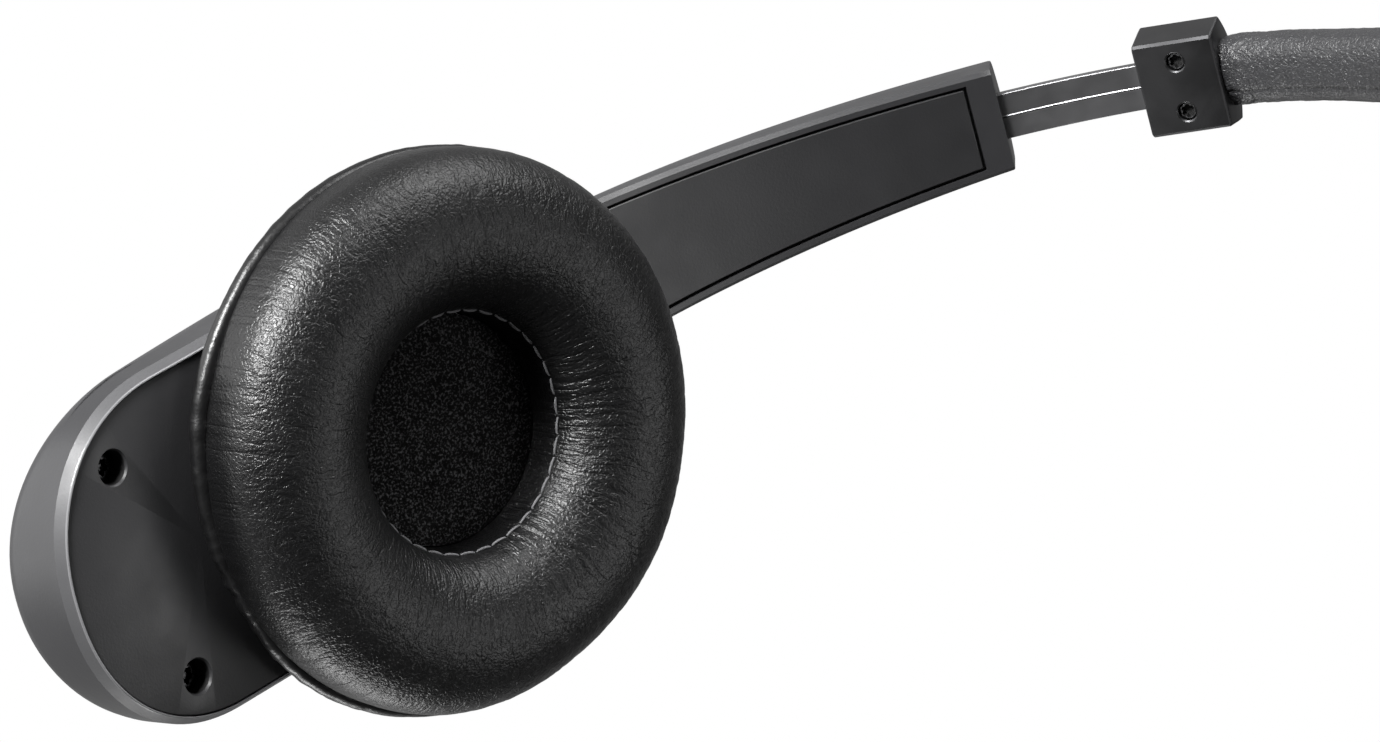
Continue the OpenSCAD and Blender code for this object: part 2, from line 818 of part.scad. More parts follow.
steel_band();
foam_padding();
leather_sleeve();
link_cable();
right_slider_bar();
right_clamp_block();
right_clamp_screws();
right_outer_shell();
right_inner_cover();
right_cover_screws();
right_arm_trim();
right_detent_spring();
right_pivot_bracket();
right_bracket_screws();
right_pivot_pin();
right_speaker_capsule();
right_speaker_driver();
right_speaker_cone();
right_pad_ring();
right_cushion();
right_scrim();
right_end_cap();
right_battery();
left_slider_bar();
left_clamp_block();
left_clamp_screws();
left_outer_shell();
left_inner_cover();
left_cover_screws();
left_arm_trim();
left_detent_spring();
left_pivot_bracket();
left_bracket_screws();
left_pivot_pin();
left_speaker_capsule();
left_speaker_driver();
left_speaker_cone();
left_pad_ring();
left_cushion();
left_scrim();
boom_hub();
hub_clip();
boom_arm();
mic_housing();
mic_capsule();
mic_grille();
circuit_board();
usb_socket();
call_button();
volume_up();
volume_down();
light_guide();
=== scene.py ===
"""Looks of the office headset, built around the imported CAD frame.

Shapes are worked out in millimetres in the row frame and scaled to metres
when a mesh is made. The right ear is built first, and the left ear gets
mirrored copies plus the boom, the buttons and the port.
"""
import json
from math import cos, degrees, pi, radians, sin, sqrt, tan

import bmesh
import bpy
import numpy as np
from mathutils import Matrix, Vector


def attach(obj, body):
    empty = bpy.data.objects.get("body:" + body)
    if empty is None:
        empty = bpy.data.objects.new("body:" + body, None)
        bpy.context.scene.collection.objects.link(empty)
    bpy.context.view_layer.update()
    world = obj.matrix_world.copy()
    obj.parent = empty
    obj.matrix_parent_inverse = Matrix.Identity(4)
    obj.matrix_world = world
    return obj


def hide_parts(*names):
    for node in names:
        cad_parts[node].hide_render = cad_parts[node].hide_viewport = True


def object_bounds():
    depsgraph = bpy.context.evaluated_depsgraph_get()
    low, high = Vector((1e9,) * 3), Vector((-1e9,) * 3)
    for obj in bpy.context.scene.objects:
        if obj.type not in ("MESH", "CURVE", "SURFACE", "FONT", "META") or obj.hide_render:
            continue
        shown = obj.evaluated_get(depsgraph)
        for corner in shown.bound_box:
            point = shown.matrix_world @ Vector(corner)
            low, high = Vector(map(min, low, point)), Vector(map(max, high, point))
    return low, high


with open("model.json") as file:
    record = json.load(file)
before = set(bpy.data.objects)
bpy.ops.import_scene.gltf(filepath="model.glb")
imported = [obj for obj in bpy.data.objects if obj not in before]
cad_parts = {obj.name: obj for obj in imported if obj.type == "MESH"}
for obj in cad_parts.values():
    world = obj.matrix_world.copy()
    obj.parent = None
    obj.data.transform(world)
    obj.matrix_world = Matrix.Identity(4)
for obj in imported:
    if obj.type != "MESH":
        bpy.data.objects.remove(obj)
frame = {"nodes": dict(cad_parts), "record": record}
scene = bpy.context.scene
cad_box = [list(corner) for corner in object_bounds()]
bodies = frame["record"]["behaviour"]["bodies"]
body_of_node = {node: body for body, nodes in bodies.items() for node in nodes}
slot_of_node = {
    part["node"]: part["material_slot"] for part in frame["record"]["subparts"]
}

# Sizes shared with the CAD source, in millimetres and degrees
HALF_SPAN = 58.0
POD_R = 20.3
POD_LOW = -32.0
POD_HIGH = 8.0
POD_DEPTH = 15.3
LEAN = radians(7)
POD_X = -6.44
POD_Z = -0.15
ARM_C = (81.0, 41.8)
ARM_R = 100.0
ARM_END = 31.25
ARM_T0 = 31.0
ARM_FACE = 42.0
ARM_LAST = ARM_T0 + radians(ARM_END + 7) * ARM_R
BAR_C = (48.863, 48.486)
BAR_R = 72.0
BAR_START = 39.5
BAR_HALF = 2.8
CLAMP_A = 58.44
SHOULDER_R = 42.0
KNEE = 80.0
BOOM_BEND_R = 130.0
BOOM_BEND = 37.0
BOOM_DROP = 35.0
COVER_SCREWS = [(-12.4, -40.9), (14.1, -37.8), (-13.4, 15.5), (13.4, 15.5)]
CLAMP_HALF = 5.75
CLAMP_SCREWS = (-3.15, 3.15)
CALL_T = 2
ROCKERS = {"volume_up": -11, "volume_down": -22}
PAD_MID = 22.8
PAD_HALF = 9.2
PAD_RISE = 7.45
PAD_FOOT = 3.6
MM = 0.001


# ---- Places -------------------------------------------------------------

def ear_place(x, y, z):
    """Row-frame points, in millimetres, of ear-frame coordinates."""
    x, y, z = np.broadcast_arrays(x, y, z)
    return np.stack([x - HALF_SPAN, y, z], axis=-1).astype(float)


def pod_place(x, y, t):
    """Row-frame points of pod coordinates: x across, t up along the pod."""
    return ear_place(POD_X + x * cos(LEAN) - t * sin(LEAN), y,
                     POD_Z + x * sin(LEAN) + t * cos(LEAN))


def pod_coordinates(point):
    """Pod coordinates (x, t) of a row-frame point in millimetres."""
    across = point.x + HALF_SPAN - POD_X
    height = point.z - POD_Z
    return (across * cos(LEAN) + height * sin(LEAN),
            height * cos(LEAN) - across * sin(LEAN))


def arm_place(x, y, t):
    """Pod coordinates that bend along the arm's arc above the neck."""
    angle = -LEAN + (t - ARM_T0) / ARM_R
    radius = ARM_R - 8.1 - x
    bent = ear_place(
        ARM_C[0] - radius * np.cos(angle), y, ARM_C[1] + radius * np.sin(angle)
    )
    return np.where((t > ARM_T0)[..., None], bent, pod_place(x, y, t))


def ear_ring(x, radius, angle):
    """Points round the ear axis; the angle is in radians."""
    return ear_place(x, radius * np.cos(angle), radius * np.sin(angle))


def arc_place(centre, radius, y, angle):
    """Points on an arc in the ear's x-z plane; angle is in degrees."""
    angle = radians(angle)
    return ear_place(
        centre[0] - radius * cos(angle), y, centre[1] + radius * sin(angle)
    )


def out_of(angle):
    """Outward direction of such an arc, as (x, z)."""
    angle = radians(angle)
    return np.array([-cos(angle), sin(angle)])


BAND_AT = np.array(BAR_C) + (BAR_R + 1.2) * out_of(CLAMP_A)
SHOULDER_C = BAND_AT - SHOULDER_R * out_of(CLAMP_A)
KNEE_AT = SHOULDER_C + SHOULDER_R * out_of(KNEE)
TOP_R = (HALF_SPAN - KNEE_AT[0]) / cos(radians(KNEE))
TOP_C = (HALF_SPAN, KNEE_AT[1] - TOP_R * sin(radians(KNEE)))
CLAMP_AT = np.array(BAR_C) + BAR_R * out_of(CLAMP_A)
CLAMP_OUT = Vector((out_of(CLAMP_A)[0], 0, out_of(CLAMP_A)[1]))
CLAMP_ALONG = Vector((CLAMP_OUT.z, 0, -CLAMP_OUT.x))


def clamp_place(x, y, z):
    """The clamp block's frame: x is outward and z runs along the band."""
    out = out_of(CLAMP_A)
    return ear_place(
        CLAMP_AT[0] + x * out[0] + z * out[1], y, CLAMP_AT[1] + x * out[1] - z * out[0]
    )


def clamp_depth_of(point):
    """Clamp coordinate x of a row-frame point in millimetres."""
    return (point - Vector(clamp_place(0, 0, 0))).dot(CLAMP_OUT)


def boom_place(x, y, z):
    """The boom's frame: z runs out along the boom and x is inward."""
    turn = radians(90 + BOOM_DROP)
    return pod_place(
        x - 18,
        y * cos(turn) - z * sin(turn),
        POD_LOW + y * sin(turn) + z * cos(turn),
    )


def tip_place(x, y, z):
    """The frame of the boom's far end, with z along the boom."""
    bend = radians(BOOM_BEND)
    reach = x - BOOM_BEND_R
    return boom_place(
        BOOM_BEND_R + reach * cos(bend) + z * sin(bend),
        y,
        26 - reach * sin(bend) + z * cos(bend),
    )


# ---- Mesh helpers -------------------------------------------------------

def circle(count):
    """Angles round a full turn."""
    return np.linspace(0, 2 * pi, count, endpoint=False)


def add_object(name, data):
    """A new object in the scene's collection."""
    made = bpy.data.objects.new(name, data)
    scene.collection.objects.link(made)
    return made


def make(name, shape, material, sharp=32):
    """A mesh object from (points in millimetres, faces). Near-equal points
    are merged."""
    points, faces = shape
    mesh = bpy.data.meshes.new(name)
    mesh.from_pydata(np.asarray(points, float).reshape(-1, 3).tolist(), [], faces)
    edit = bmesh.new()
    edit.from_mesh(mesh)
    bmesh.ops.remove_doubles(edit, verts=edit.verts, dist=1e-4)
    bmesh.ops.dissolve_degenerate(edit, dist=1e-5, edges=edit.edges)
    bmesh.ops.recalc_face_normals(edit, faces=edit.faces)
    edit.to_mesh(mesh)
    edit.free()
    mesh.materials.append(material)
    made = add_object(name, mesh)
    soften(made, sharp)
    return made


def soften(made, sharp=32):
    """Smooth shading that stays sharp over edges of that many degrees."""
    mesh = made.data
    mesh.polygons.foreach_set("use_smooth", [True] * len(mesh.polygons))
    mesh.set_sharp_from_angle(angle=radians(sharp))


def skin(rings, ends="cap"):
    """Points and faces over rings, an array of rings x points x 3. The ends
    are capped, left open, or joined to each other in a loop."""
    rings = np.asarray(rings, float)
    count, size = rings.shape[:2]
    faces = []
    for i in range(count if ends == "loop" else count - 1):
        low = i * size
        high = ((i + 1) % count) * size
        for j in range(size):
            k = (j + 1) % size
            faces.append((low + j, low + k, high + k, high + j))
    if ends == "cap":
        faces.append(tuple(range(size)))
        faces.append(tuple(range((count - 1) * size, count * size)))
    return rings.reshape(-1, 3), faces


def join_parts(parts):
    """One point list and face list from several."""
    points = []
    faces = []
    start = 0
    for part_points, part_faces in parts:
        points.append(part_points)
        faces.extend(tuple(start + v for v in face) for face in part_faces)
        start += len(part_points)
    return np.concatenate(points), faces


def turned(profile, place, count=64):
    """A turned form: profile is (radius, along), from pole to pole, and
    place maps (along, across, up) to the row frame."""
    angle = circle(count)
    rings = [
        place(
            np.full(count, along),
            radius * np.cos(angle),
            radius * np.sin(angle),
        )
        for radius, along in profile
    ]
    return skin(rings, "open")


def on_pod(y0, t0):
    """Pod coordinates from an origin at (y0, t0)."""
    return lambda x, y, t: pod_place(x, y + y0, t + t0)


def on_clamp(y0):
    """Clamp coordinates from an origin at y0."""
    return lambda x, y, z: clamp_place(x, y + y0, z)


def strip(centre, radius, thick, half, a0, a1, steps=24):
    """A curved box along an arc, for slots and flat bars."""
    rings = []
    for angle in np.linspace(a0, a1, steps):
        rings.append(arc_place(
            centre,
            np.array([-1, -1, 1, 1]) * thick / 2 + radius,
            np.array([-1, 1, 1, -1]) * half,
            angle,
        ))
    return skin(rings)


def pod_box(low, high):
    """A plain box in pod coordinates, only used to cut openings."""
    x = np.array([low[0], high[0], high[0], low[0]])
    y = np.array([low[1], low[1], high[1], high[1]])
    return skin([pod_place(x, y, low[2]), pod_place(x, y, high[2])])


def combine(target, parts, operation):
    """Boolean of a mesh with tool shapes given as points and faces."""
    tool = make("tool", join_parts(parts), target.data.materials[0])
    modifier = target.modifiers.new("combine", "BOOLEAN")
    modifier.operation = operation
    modifier.solver = "EXACT"
    modifier.object = tool
    graph = bpy.context.evaluated_depsgraph_get()
    mesh = bpy.data.meshes.new_from_object(target.evaluated_get(graph))
    target.modifiers.clear()
    old = target.data
    target.data = mesh
    bpy.data.meshes.remove(old)
    bpy.data.objects.remove(tool)
    soften(target)


def cut(target, *parts):
    """Takes shapes away from a mesh."""
    combine(target, parts, "DIFFERENCE")


def weld(target, *parts):
    """Adds shapes to a mesh."""
    combine(target, parts, "UNION")


def paint(made, material, chosen):
    """Gives the faces that chosen picks one more material."""
    made.data.materials.append(material)
    for face in made.data.polygons:
        if chosen(face):
            face.material_index = len(made.data.materials) - 1


def flip(mesh):
    """Mirrors a mesh from the right ear to the left."""
    mesh.transform(Matrix.Scale(-1, 4, Vector((1, 0, 0))))
    mesh.flip_normals()


def mirrored(source, name):
    """A copy of a right-ear mesh for the left ear."""
    copy = add_object(name, source.data.copy())
    flip(copy.data)
    return copy


def place_piece(made, node, stands_for=True):
    """Scales a finished mesh to metres and lets it ride its body."""
    made.data.transform(Matrix.Scale(MM, 4))
    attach(made, body_of_node[node])
    if stands_for:
        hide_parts(node)


def place_left(made, node):
    """Places a left-ear piece that was drawn on the right ear."""
    flip(made.data)
    place_piece(made, node)


def both_ears(made, name, node, stands_for):
    """Places a right-ear piece and its mirrored copy."""
    other = mirrored(made, "left_" + name)
    place_piece(made, "right_" + node, stands_for)
    place_piece(other, "left_" + node, stands_for)


# ---- Materials ----------------------------------------------------------

def add_node(tree, kind, output, values=(), **settings):
    """An output of a new shader node. Values are the node's inputs by name
    or number, each one linked if it is an output itself."""
    node = tree.nodes.new("ShaderNode" + kind)
    for key, value in settings.items():
        setattr(node, key, value)
    for key, value in dict(values).items():
        if isinstance(value, bpy.types.NodeSocket):
            tree.links.new(value, node.inputs[key])
        else:
            node.inputs[key].default_value = value
    return node.outputs[output]


class Finish:
    """A procedural material: colour drift, roughness drift and bumps."""

    def __init__(self, name, colour, roughness, metallic=0.0, specular=0.5):
        self.material = bpy.data.materials.new(name)
        self.material.use_nodes = True
        self.tree = self.material.node_tree
        self.shader = self.tree.nodes["Principled BSDF"]
        self.shader.inputs["Metallic"].default_value = metallic
        self.shader.inputs["Specular IOR Level"].default_value = specular
        self.place = self.add("TexCoord", "Object")
        self.normal = None
        self.mix_colour(self.noise(60, 3), colour, [c * 1.25 for c in colour])
        self.feed("Roughness", self.add("MapRange", "Result", {
            "Value": self.noise(220, 4), "From Min": 0.3, "From Max": 0.7,
            "To Min": roughness * 0.88, "To Max": min(1.0, roughness * 1.12),
        }))

    def add(self, kind, output, values=(), **settings):
        return add_node(self.tree, kind, output, values, **settings)

    def vector(self, operation, values, output="Vector"):
        return self.add("VectorMath", output, values, operation=operation)

    def feed(self, name, output):
        self.tree.links.new(output, self.shader.inputs[name])

    def noise(self, scale, detail=2.0, source=None):
        return self.add("TexNoise", "Fac", {
            "Scale": scale, "Detail": detail, "Vector": source or self.place})

    def creases(self, scale, width, source=None):
        """Thin lines, low along the middle value of a noise."""
        away = self.add("Math", "Value", {0: self.noise(scale, 2, source), 1: 0.5},
                        operation="SUBTRACT")
        size = self.add("Math", "Value", {0: away}, operation="ABSOLUTE")
        return self.add("MapRange", "Result", {"Value": size, "From Max": width},
                        interpolation_type="SMOOTHSTEP")

    def spokes(self):
        """Places round the ear axis that change slowly along a radius, so
        that noise over them runs in radial streaks."""
        flat = self.vector("MULTIPLY", {0: self.place, 1: (0, 1, 1)})
        unit = self.vector("NORMALIZE", {0: flat})
        ring = self.vector("SCALE", {0: unit, "Scale": PAD_MID * MM})
        size = self.vector("LENGTH", {0: flat}, "Value")
        reach = self.add("CombineXYZ", "Vector", {"X": size})
        slow = self.vector("MULTIPLY", {0: reach, 1: (0.42, 0, 0)})
        return self.vector("ADD", {0: ring, 1: slow})

    def cells(self, scale):
        """Distances to the nearest of many scattered points."""
        return self.add("TexVoronoi", "Distance",
                        {"Scale": scale, "Vector": self.place})

    def mix_colour(self, factor, dark, light, low=0.35, high=0.65):
        ramp = self.add("ValToRGB", "Color", {"Fac": factor})
        stops = ramp.node.color_ramp.elements
        for stop, at, colour in zip(stops, (low, high), (dark, light)):
            stop.position = at
            stop.color = (*colour, 1)
        self.feed("Base Color", ramp)

    def bump(self, height, depth_mm):
        """Adds a bump layer; the depth is in millimetres."""
        values = {"Strength": 1.0, "Distance": depth_mm * MM, "Height": height}
        if self.normal is not None:
            values["Normal"] = self.normal
        self.normal = self.add("Bump", "Normal", values)
        self.feed("Normal", self.normal)


def plastic(name, colour, roughness, grain=0.012):
    finish = Finish(name, colour, roughness)
    finish.bump(finish.noise(3200, 2), grain)
    return finish.material


def metal(name, colour, roughness, grain=0.006):
    finish = Finish(name, colour, roughness, metallic=1.0)
    finish.bump(finish.noise(2600, 3), grain)
    return finish.material


def leather(name, colour, roughness, pebble, crease, streak=0.0, radial=True):
    finish = Finish(name, colour, roughness)
    finish.bump(finish.cells(2600), pebble)
    finish.bump(finish.noise(1500, 4), crease)
    if streak:
        source = finish.spokes() if radial else None
        finish.bump(finish.creases(850, 0.1, source), streak)
        finish.bump(finish.creases(1900, 0.14), streak * 0.8)
    return finish.material


def knit(name):
    finish = Finish(name, (0.003, 0.003, 0.0031), 0.9, specular=0.15)
    finish.mix_colour(finish.noise(3600, 1), (0.002, 0.002, 0.0021),
                      (0.1, 0.1, 0.103), 0.5, 0.72)
    finish.bump(finish.noise(5200, 2), 0.08)
    return finish.material


finish_of_slot = {
    "shell": plastic("shell_plastic", (0.024, 0.024, 0.0255), 0.36),
    "cover": plastic("cover_plastic", (0.017, 0.017, 0.018), 0.42, 0.016),
    "internal_plastic": plastic(
        "internal_plastic", (0.014, 0.014, 0.0148), 0.5, 0.02),
    "button": plastic("button_rubber", (0.03, 0.03, 0.033), 0.6, 0.02),
    "leatherette": leather("cushion_leatherette", (0.003, 0.003, 0.0032), 0.38,
                           0.028, 0.014, 0.036),
    "band_leatherette": leather("band_leatherette", (0.022, 0.022, 0.0235), 0.38,
                                0.03, 0.026, 0.05, radial=False),
    "scrim": knit("scrim_knit"),
    "foam": plastic("foam", (0.045, 0.045, 0.05), 0.95, 0.3),
    "bar_steel": metal("bar_steel", (0.22, 0.22, 0.226), 0.42),
    "spring_steel": metal("bright_steel", (0.52, 0.52, 0.53), 0.28),
    "clamp": metal("clamp_metal", (0.08, 0.08, 0.0825), 0.4, 0.01),
    "screw": metal("screw_steel", (0.06, 0.06, 0.062), 0.2),
    "cone": plastic("cone_paper", (0.06, 0.058, 0.055), 0.8, 0.05),
    "cell": plastic("battery_wrap", (0.05, 0.16, 0.34), 0.38, 0.02),
    "cable": plastic("cable", (0.012, 0.012, 0.0125), 0.5, 0.02),
    "board": plastic("circuit_board", (0.012, 0.1, 0.04), 0.45, 0.03),
    "guide": plastic("light_guide", (0.75, 0.78, 0.76), 0.18, 0.004),
}
finish_of_slot["steel"] = finish_of_slot["spring_steel"]
cover_finish = finish_of_slot["cover"]
inside_finish = finish_of_slot["internal_plastic"]
button_finish = finish_of_slot["button"]
# Painted highlight: a lighter copy of the shell plastic for the bright line along the
# pod's rim.
rim_highlight_finish = plastic("shell_rim_highlight", (0.16, 0.16, 0.165), 0.22)
# Painted highlight: a lighter copy of the shell plastic for the chamfer band below the
# rim, which catches the light.
bevel_highlight_finish = plastic("shell_bevel_highlight", (0.06, 0.06, 0.0625), 0.5)
# Painted shade: near-black plastic for the walls and floors of holes and recesses.
recess_shade_finish = plastic("recess_shade_plastic", (0.003, 0.003, 0.0031), 0.6, 0.02)
piping_leather = leather("piping_leatherette", (0.004, 0.004, 0.0042), 0.38,
                         0.015, 0.04)
thread_finish = plastic("thread", (0.13, 0.13, 0.135), 0.7, 0.05)
# Painted shade: a darker, rougher copy of the clamp metal on the block's chamfers, which
# dims their highlight.
block_edge_shade_finish = metal("clamp_edge_shade", (0.06, 0.06, 0.062), 0.62, 0.004)
set_screw_finish = metal("set_screw_steel", (0.3, 0.3, 0.305), 0.2)
for node_name, node_object in frame["nodes"].items():
    node_object.data.materials.clear()
    node_object.data.materials.append(finish_of_slot[slot_of_node[node_name]])


# ---- Noise over grids ---------------------------------------------------

def sample(lattice, u, v):
    """Smooth value noise; v is periodic over the lattice's columns."""
    rows, columns = lattice.shape
    i = np.floor(u).astype(int)
    j = np.floor(v).astype(int)
    fu = u - i
    fv = v - j
    fu = fu * fu * (3 - 2 * fu)
    fv = fv * fv * (3 - 2 * fv)
    i0 = np.clip(i, 0, rows - 1)
    i1 = np.clip(i + 1, 0, rows - 1)
    j0 = j % columns
    j1 = (j + 1) % columns
    low = lattice[i0, j0] * (1 - fv) + lattice[i0, j1] * fv
    high = lattice[i1, j0] * (1 - fv) + lattice[i1, j1] * fv
    return low * (1 - fu) + high * fu


def ring_noise(u, v, length, turn, du, dv, seed):
    """Noise with cells of du by dv millimetres; turn is the closed side."""
    rng = np.random.default_rng(seed)
    columns = max(3, int(round(turn / dv)))
    rows = int(length / du) + 3
    return sample(rng.random((rows, columns)), u / du, v * columns / turn)


def crease_lines(value, sharpness):
    """Thin lines where smooth noise passes its middle value."""
    return (1 - np.abs(2 * value - 1)) ** sharpness


def grid_normals(grid):
    """Unit normals of a grid whose columns run round a closed ring."""
    around = np.roll(grid, -1, axis=1) - np.roll(grid, 1, axis=1)
    normal = np.cross(around, np.gradient(grid, axis=0))
    return normal / np.linalg.norm(normal, axis=-1, keepdims=True)


def refine(grid):
    """Doubles a grid in both directions with a four-point scheme."""
    a = np.roll(grid, 1, axis=1)
    b = np.roll(grid, -1, axis=1)
    c = np.roll(grid, -2, axis=1)
    middle = (9 * (grid + b) - a - c) / 16
    wide = np.stack([grid, middle], axis=2)
    wide = wide.reshape(grid.shape[0], -1, 3)
    first = 2 * wide[:1] - wide[1:2]
    last = 2 * wide[-1:] - wide[-2:-1]
    padded = np.concatenate([first, wide, last])
    middle = (9 * (padded[1:-2] + padded[2:-1]) - padded[:-3] - padded[3:]) / 16
    tall = np.empty((2 * len(wide) - 1,) + wide.shape[1:])
    tall[0::2] = wide
    tall[1::2] = middle
    return tall


# ---- Ear cushion --------------------------------------------------------

def cushion_profile(count):
    """(radius, x) from the outer seam over the front to the inner hem."""
    under = np.radians(np.linspace(80, 0, 40, endpoint=False))
    over = np.radians(np.linspace(0, 180, 110))
    radius = np.concatenate([
        PAD_MID + PAD_HALF - 0.55 * (1 - np.cos(under)),
        PAD_MID + PAD_HALF * np.cos(over), [13.55, 13.45, 13.3],
    ])
    x = np.concatenate([
        PAD_FOOT - 3.5 * np.sin(under), PAD_FOOT + PAD_RISE * np.sin(over),
        [2.6, 1.8, 1.0],
    ])
    step = np.hypot(np.diff(radius), np.diff(x))
    along = np.concatenate([[0], np.cumsum(step)])
    even = np.linspace(0, along[-1], count)
    return np.interp(even, along, radius), np.interp(even, along, x), along[-1]


def hump(value, middle, width):
    """A smooth rise to one about a middle value."""
    return np.exp(-((value - middle) / width) ** 2)


def inflate(grid):
    """Movements of the leather when a cloth simulation swells it over its
    foam. It is pinned at the outer seam and the inner hem, so that it
    puckers towards both."""
    scale = 0.02
    last_frame = 20
    rows, columns = grid.shape[:2]
    points, faces = skin(grid * scale, "open")
    mesh = bpy.data.meshes.new("swelling")
    mesh.from_pydata(points.tolist(), [], faces)
    swelling = add_object("swelling", mesh)
    pins = swelling.vertex_groups.new(name="pins")
    held = list(range(columns)) + list(range((rows - 2) * columns, rows * columns))
    pins.add(held, 1.0, "REPLACE")
    cloth = swelling.modifiers.new("cloth", "CLOTH")
    for key, value in (
        ("quality", 6), ("mass", 0.3), ("tension_stiffness", 20),
        ("compression_stiffness", 20), ("shear_stiffness", 8),
        ("bending_stiffness", 0.02), ("shrink_min", -0.045),
        ("use_pressure", True), ("uniform_pressure_force", 4),
        ("vertex_group_mass", "pins"),
    ):
        setattr(cloth.settings, key, value)
    cloth.settings.effector_weights.gravity = 0
    cloth.collision_settings.use_collision = False
    cloth.collision_settings.use_self_collision = False
    cloth.point_cache.frame_start = 1
    cloth.point_cache.frame_end = last_frame
    for number in range(1, last_frame + 1):
        scene.frame_set(number)
    graph = bpy.context.evaluated_depsgraph_get()
    result = swelling.evaluated_get(graph).to_mesh()
    flat = np.empty(len(result.vertices) * 3)
    result.vertices.foreach_get("co", flat)
    scene.frame_set(1)
    bpy.data.objects.remove(swelling)
    bpy.data.meshes.remove(mesh)
    return flat.reshape(rows, columns, 3) / scale - grid


def build_cushion():
    radius, depth, length = cushion_profile(49)
    angle = circle(384)
    bearing = np.degrees(angle)
    bearing = np.where(bearing > 180, bearing - 360, bearing)
    slack = -0.75 * hump(bearing, 14, 24) - 0.4 * hump(bearing, 62, 22)
    outer = np.clip((radius - PAD_MID) / PAD_HALF, 0, 1)[:, None]
    grid = ear_ring(depth[:, None], radius[:, None] + outer * slack, angle)
    normal = grid_normals(grid)
    swell = np.sum(inflate(grid) * normal, axis=-1)
    swell = swell - swell.mean(axis=1, keepdims=True)
    swell = np.clip(swell * 0.08, -0.06, 0.06)
    grid = grid + swell[..., None] * normal
    grid = refine(grid)
    rows, columns = grid.shape[:2]
    turn = 2 * pi * PAD_MID
    u = np.linspace(0, length, rows)[:, None] * np.ones((1, columns))
    v = np.linspace(0, turn, columns, endpoint=False)[None, :] * np.ones((rows, 1))
    theta = v / turn * 2 * pi
    flat = (u, v, length, turn)
    u2 = np.clip(u + 2.2 * (ring_noise(*flat, 3.5, 3.5, 11) - 0.5), 0, length)
    v2 = v + 2.4 * (ring_noise(*flat, 3.0, 3.0, 12) - 0.5)
    bent = (u2, v2, length, turn)
    coarse = crease_lines(ring_noise(*bent, 6.5, 1.3, 13), 6)
    medium = crease_lines(ring_noise(*bent, 3.4, 0.75, 14), 4)
    tiny = crease_lines(ring_noise(*bent, 1.7, 0.45, 17), 2)
    patch = ring_noise(*flat, 7.0, 7.0, 15)
    pucker = ring_noise(*flat, 4.0, 1.7, 16) - 0.5
    side = 0.5 + 0.5 * np.cos(theta - radians(48))
    inward = np.clip((u - 8) / 18, 0, 1)
    edge = np.clip(u / 1.5, 0, 1) * np.clip((length - u) / 1.0, 0, 1)
    strong = (0.25 + 0.75 * side) * (0.35 + 0.65 * inward) * (0.4 + 1.1 * patch)
    relief = (
        -0.09 * coarse * strong - 0.085 * medium * (0.12 + 0.88 * strong)
        - 0.034 * tiny * (0.15 + 0.85 * side) + 0.1 * hump(u, 0, 2.2) * pucker
    )
    grid = grid + (relief * edge)[..., None] * grid_normals(grid)
    back = [
        ear_ring(x, r, theta[0])
        for r, x in ((13.8, 0.8), (16.5, 0.72), (30.5, 0.66), (31.0, 0.1))
    ]
    shape = skin(np.concatenate([grid, np.array(back)]), "loop")
    return make("right_cushion_leather", shape, finish_of_slot["leatherette"], 60)


def build_piping():
    """The rolled edge behind the cushion's seam. It wavers, and is puckered
    on the side where the leather is gathered."""
    columns = 1100
    size = 18
    theta = circle(columns)[:, None]
    b = circle(size)[None, :]
    turn = 2 * pi * 31.2
    around = 5
    v = theta / (2 * pi) * turn * np.ones((1, size))
    u = b / (2 * pi) * around * np.ones((columns, 1))
    flat = (u, v, around, turn)
    ripple = ring_noise(*flat, 2.5, 1.5, 21) - 0.5
    fine = ring_noise(*flat, 1.2, 0.7, 22) - 0.5
    bearing = np.degrees(theta)
    gathered = 0.25 + 0.75 * hump(bearing, 282, 30)
    section = 1.08 + gathered * (0.3 * ripple + 0.14 * fine)
    waver = 0.4 * hump(bearing, 243, 13) - 0.6 * hump(bearing, 286, 13)
    tucked = -0.8 * hump(bearing, 14, 24) - 0.75 * hump(bearing, 168, 38)
    radius = 31.6 + waver + tucked + section * np.cos(b)
    rings = ear_ring(-0.5 + section * np.sin(b), radius, theta)
    return make("right_cushion_piping", skin(rings, "loop"), piping_leather, 70)


def build_stitches():
    """Thread on the inner wall of the ear hole, dipping at each needle hole."""
    count = 38
    b = circle(8)
    parts = []
    for number in range(count):
        start = number / count * 2 * pi
        span = 0.86 / count * 2 * pi
        rings = []
        for share in np.linspace(0, 1, 9):
            lift = 0.17 * sin(pi * share) ** 0.5 - 0.12
            thick = 0.17 * (0.75 + 0.25 * sin(pi * share))
            x = 5.0 + 0.1 * (share - 0.5) + thick * np.sin(b)
            radius = 13.74 - lift + thick * np.cos(b)
            rings.append(ear_ring(x, radius, start + span * share))
        parts.append(skin(rings))
    return make("right_cushion_stitches", join_parts(parts), thread_finish, 60)


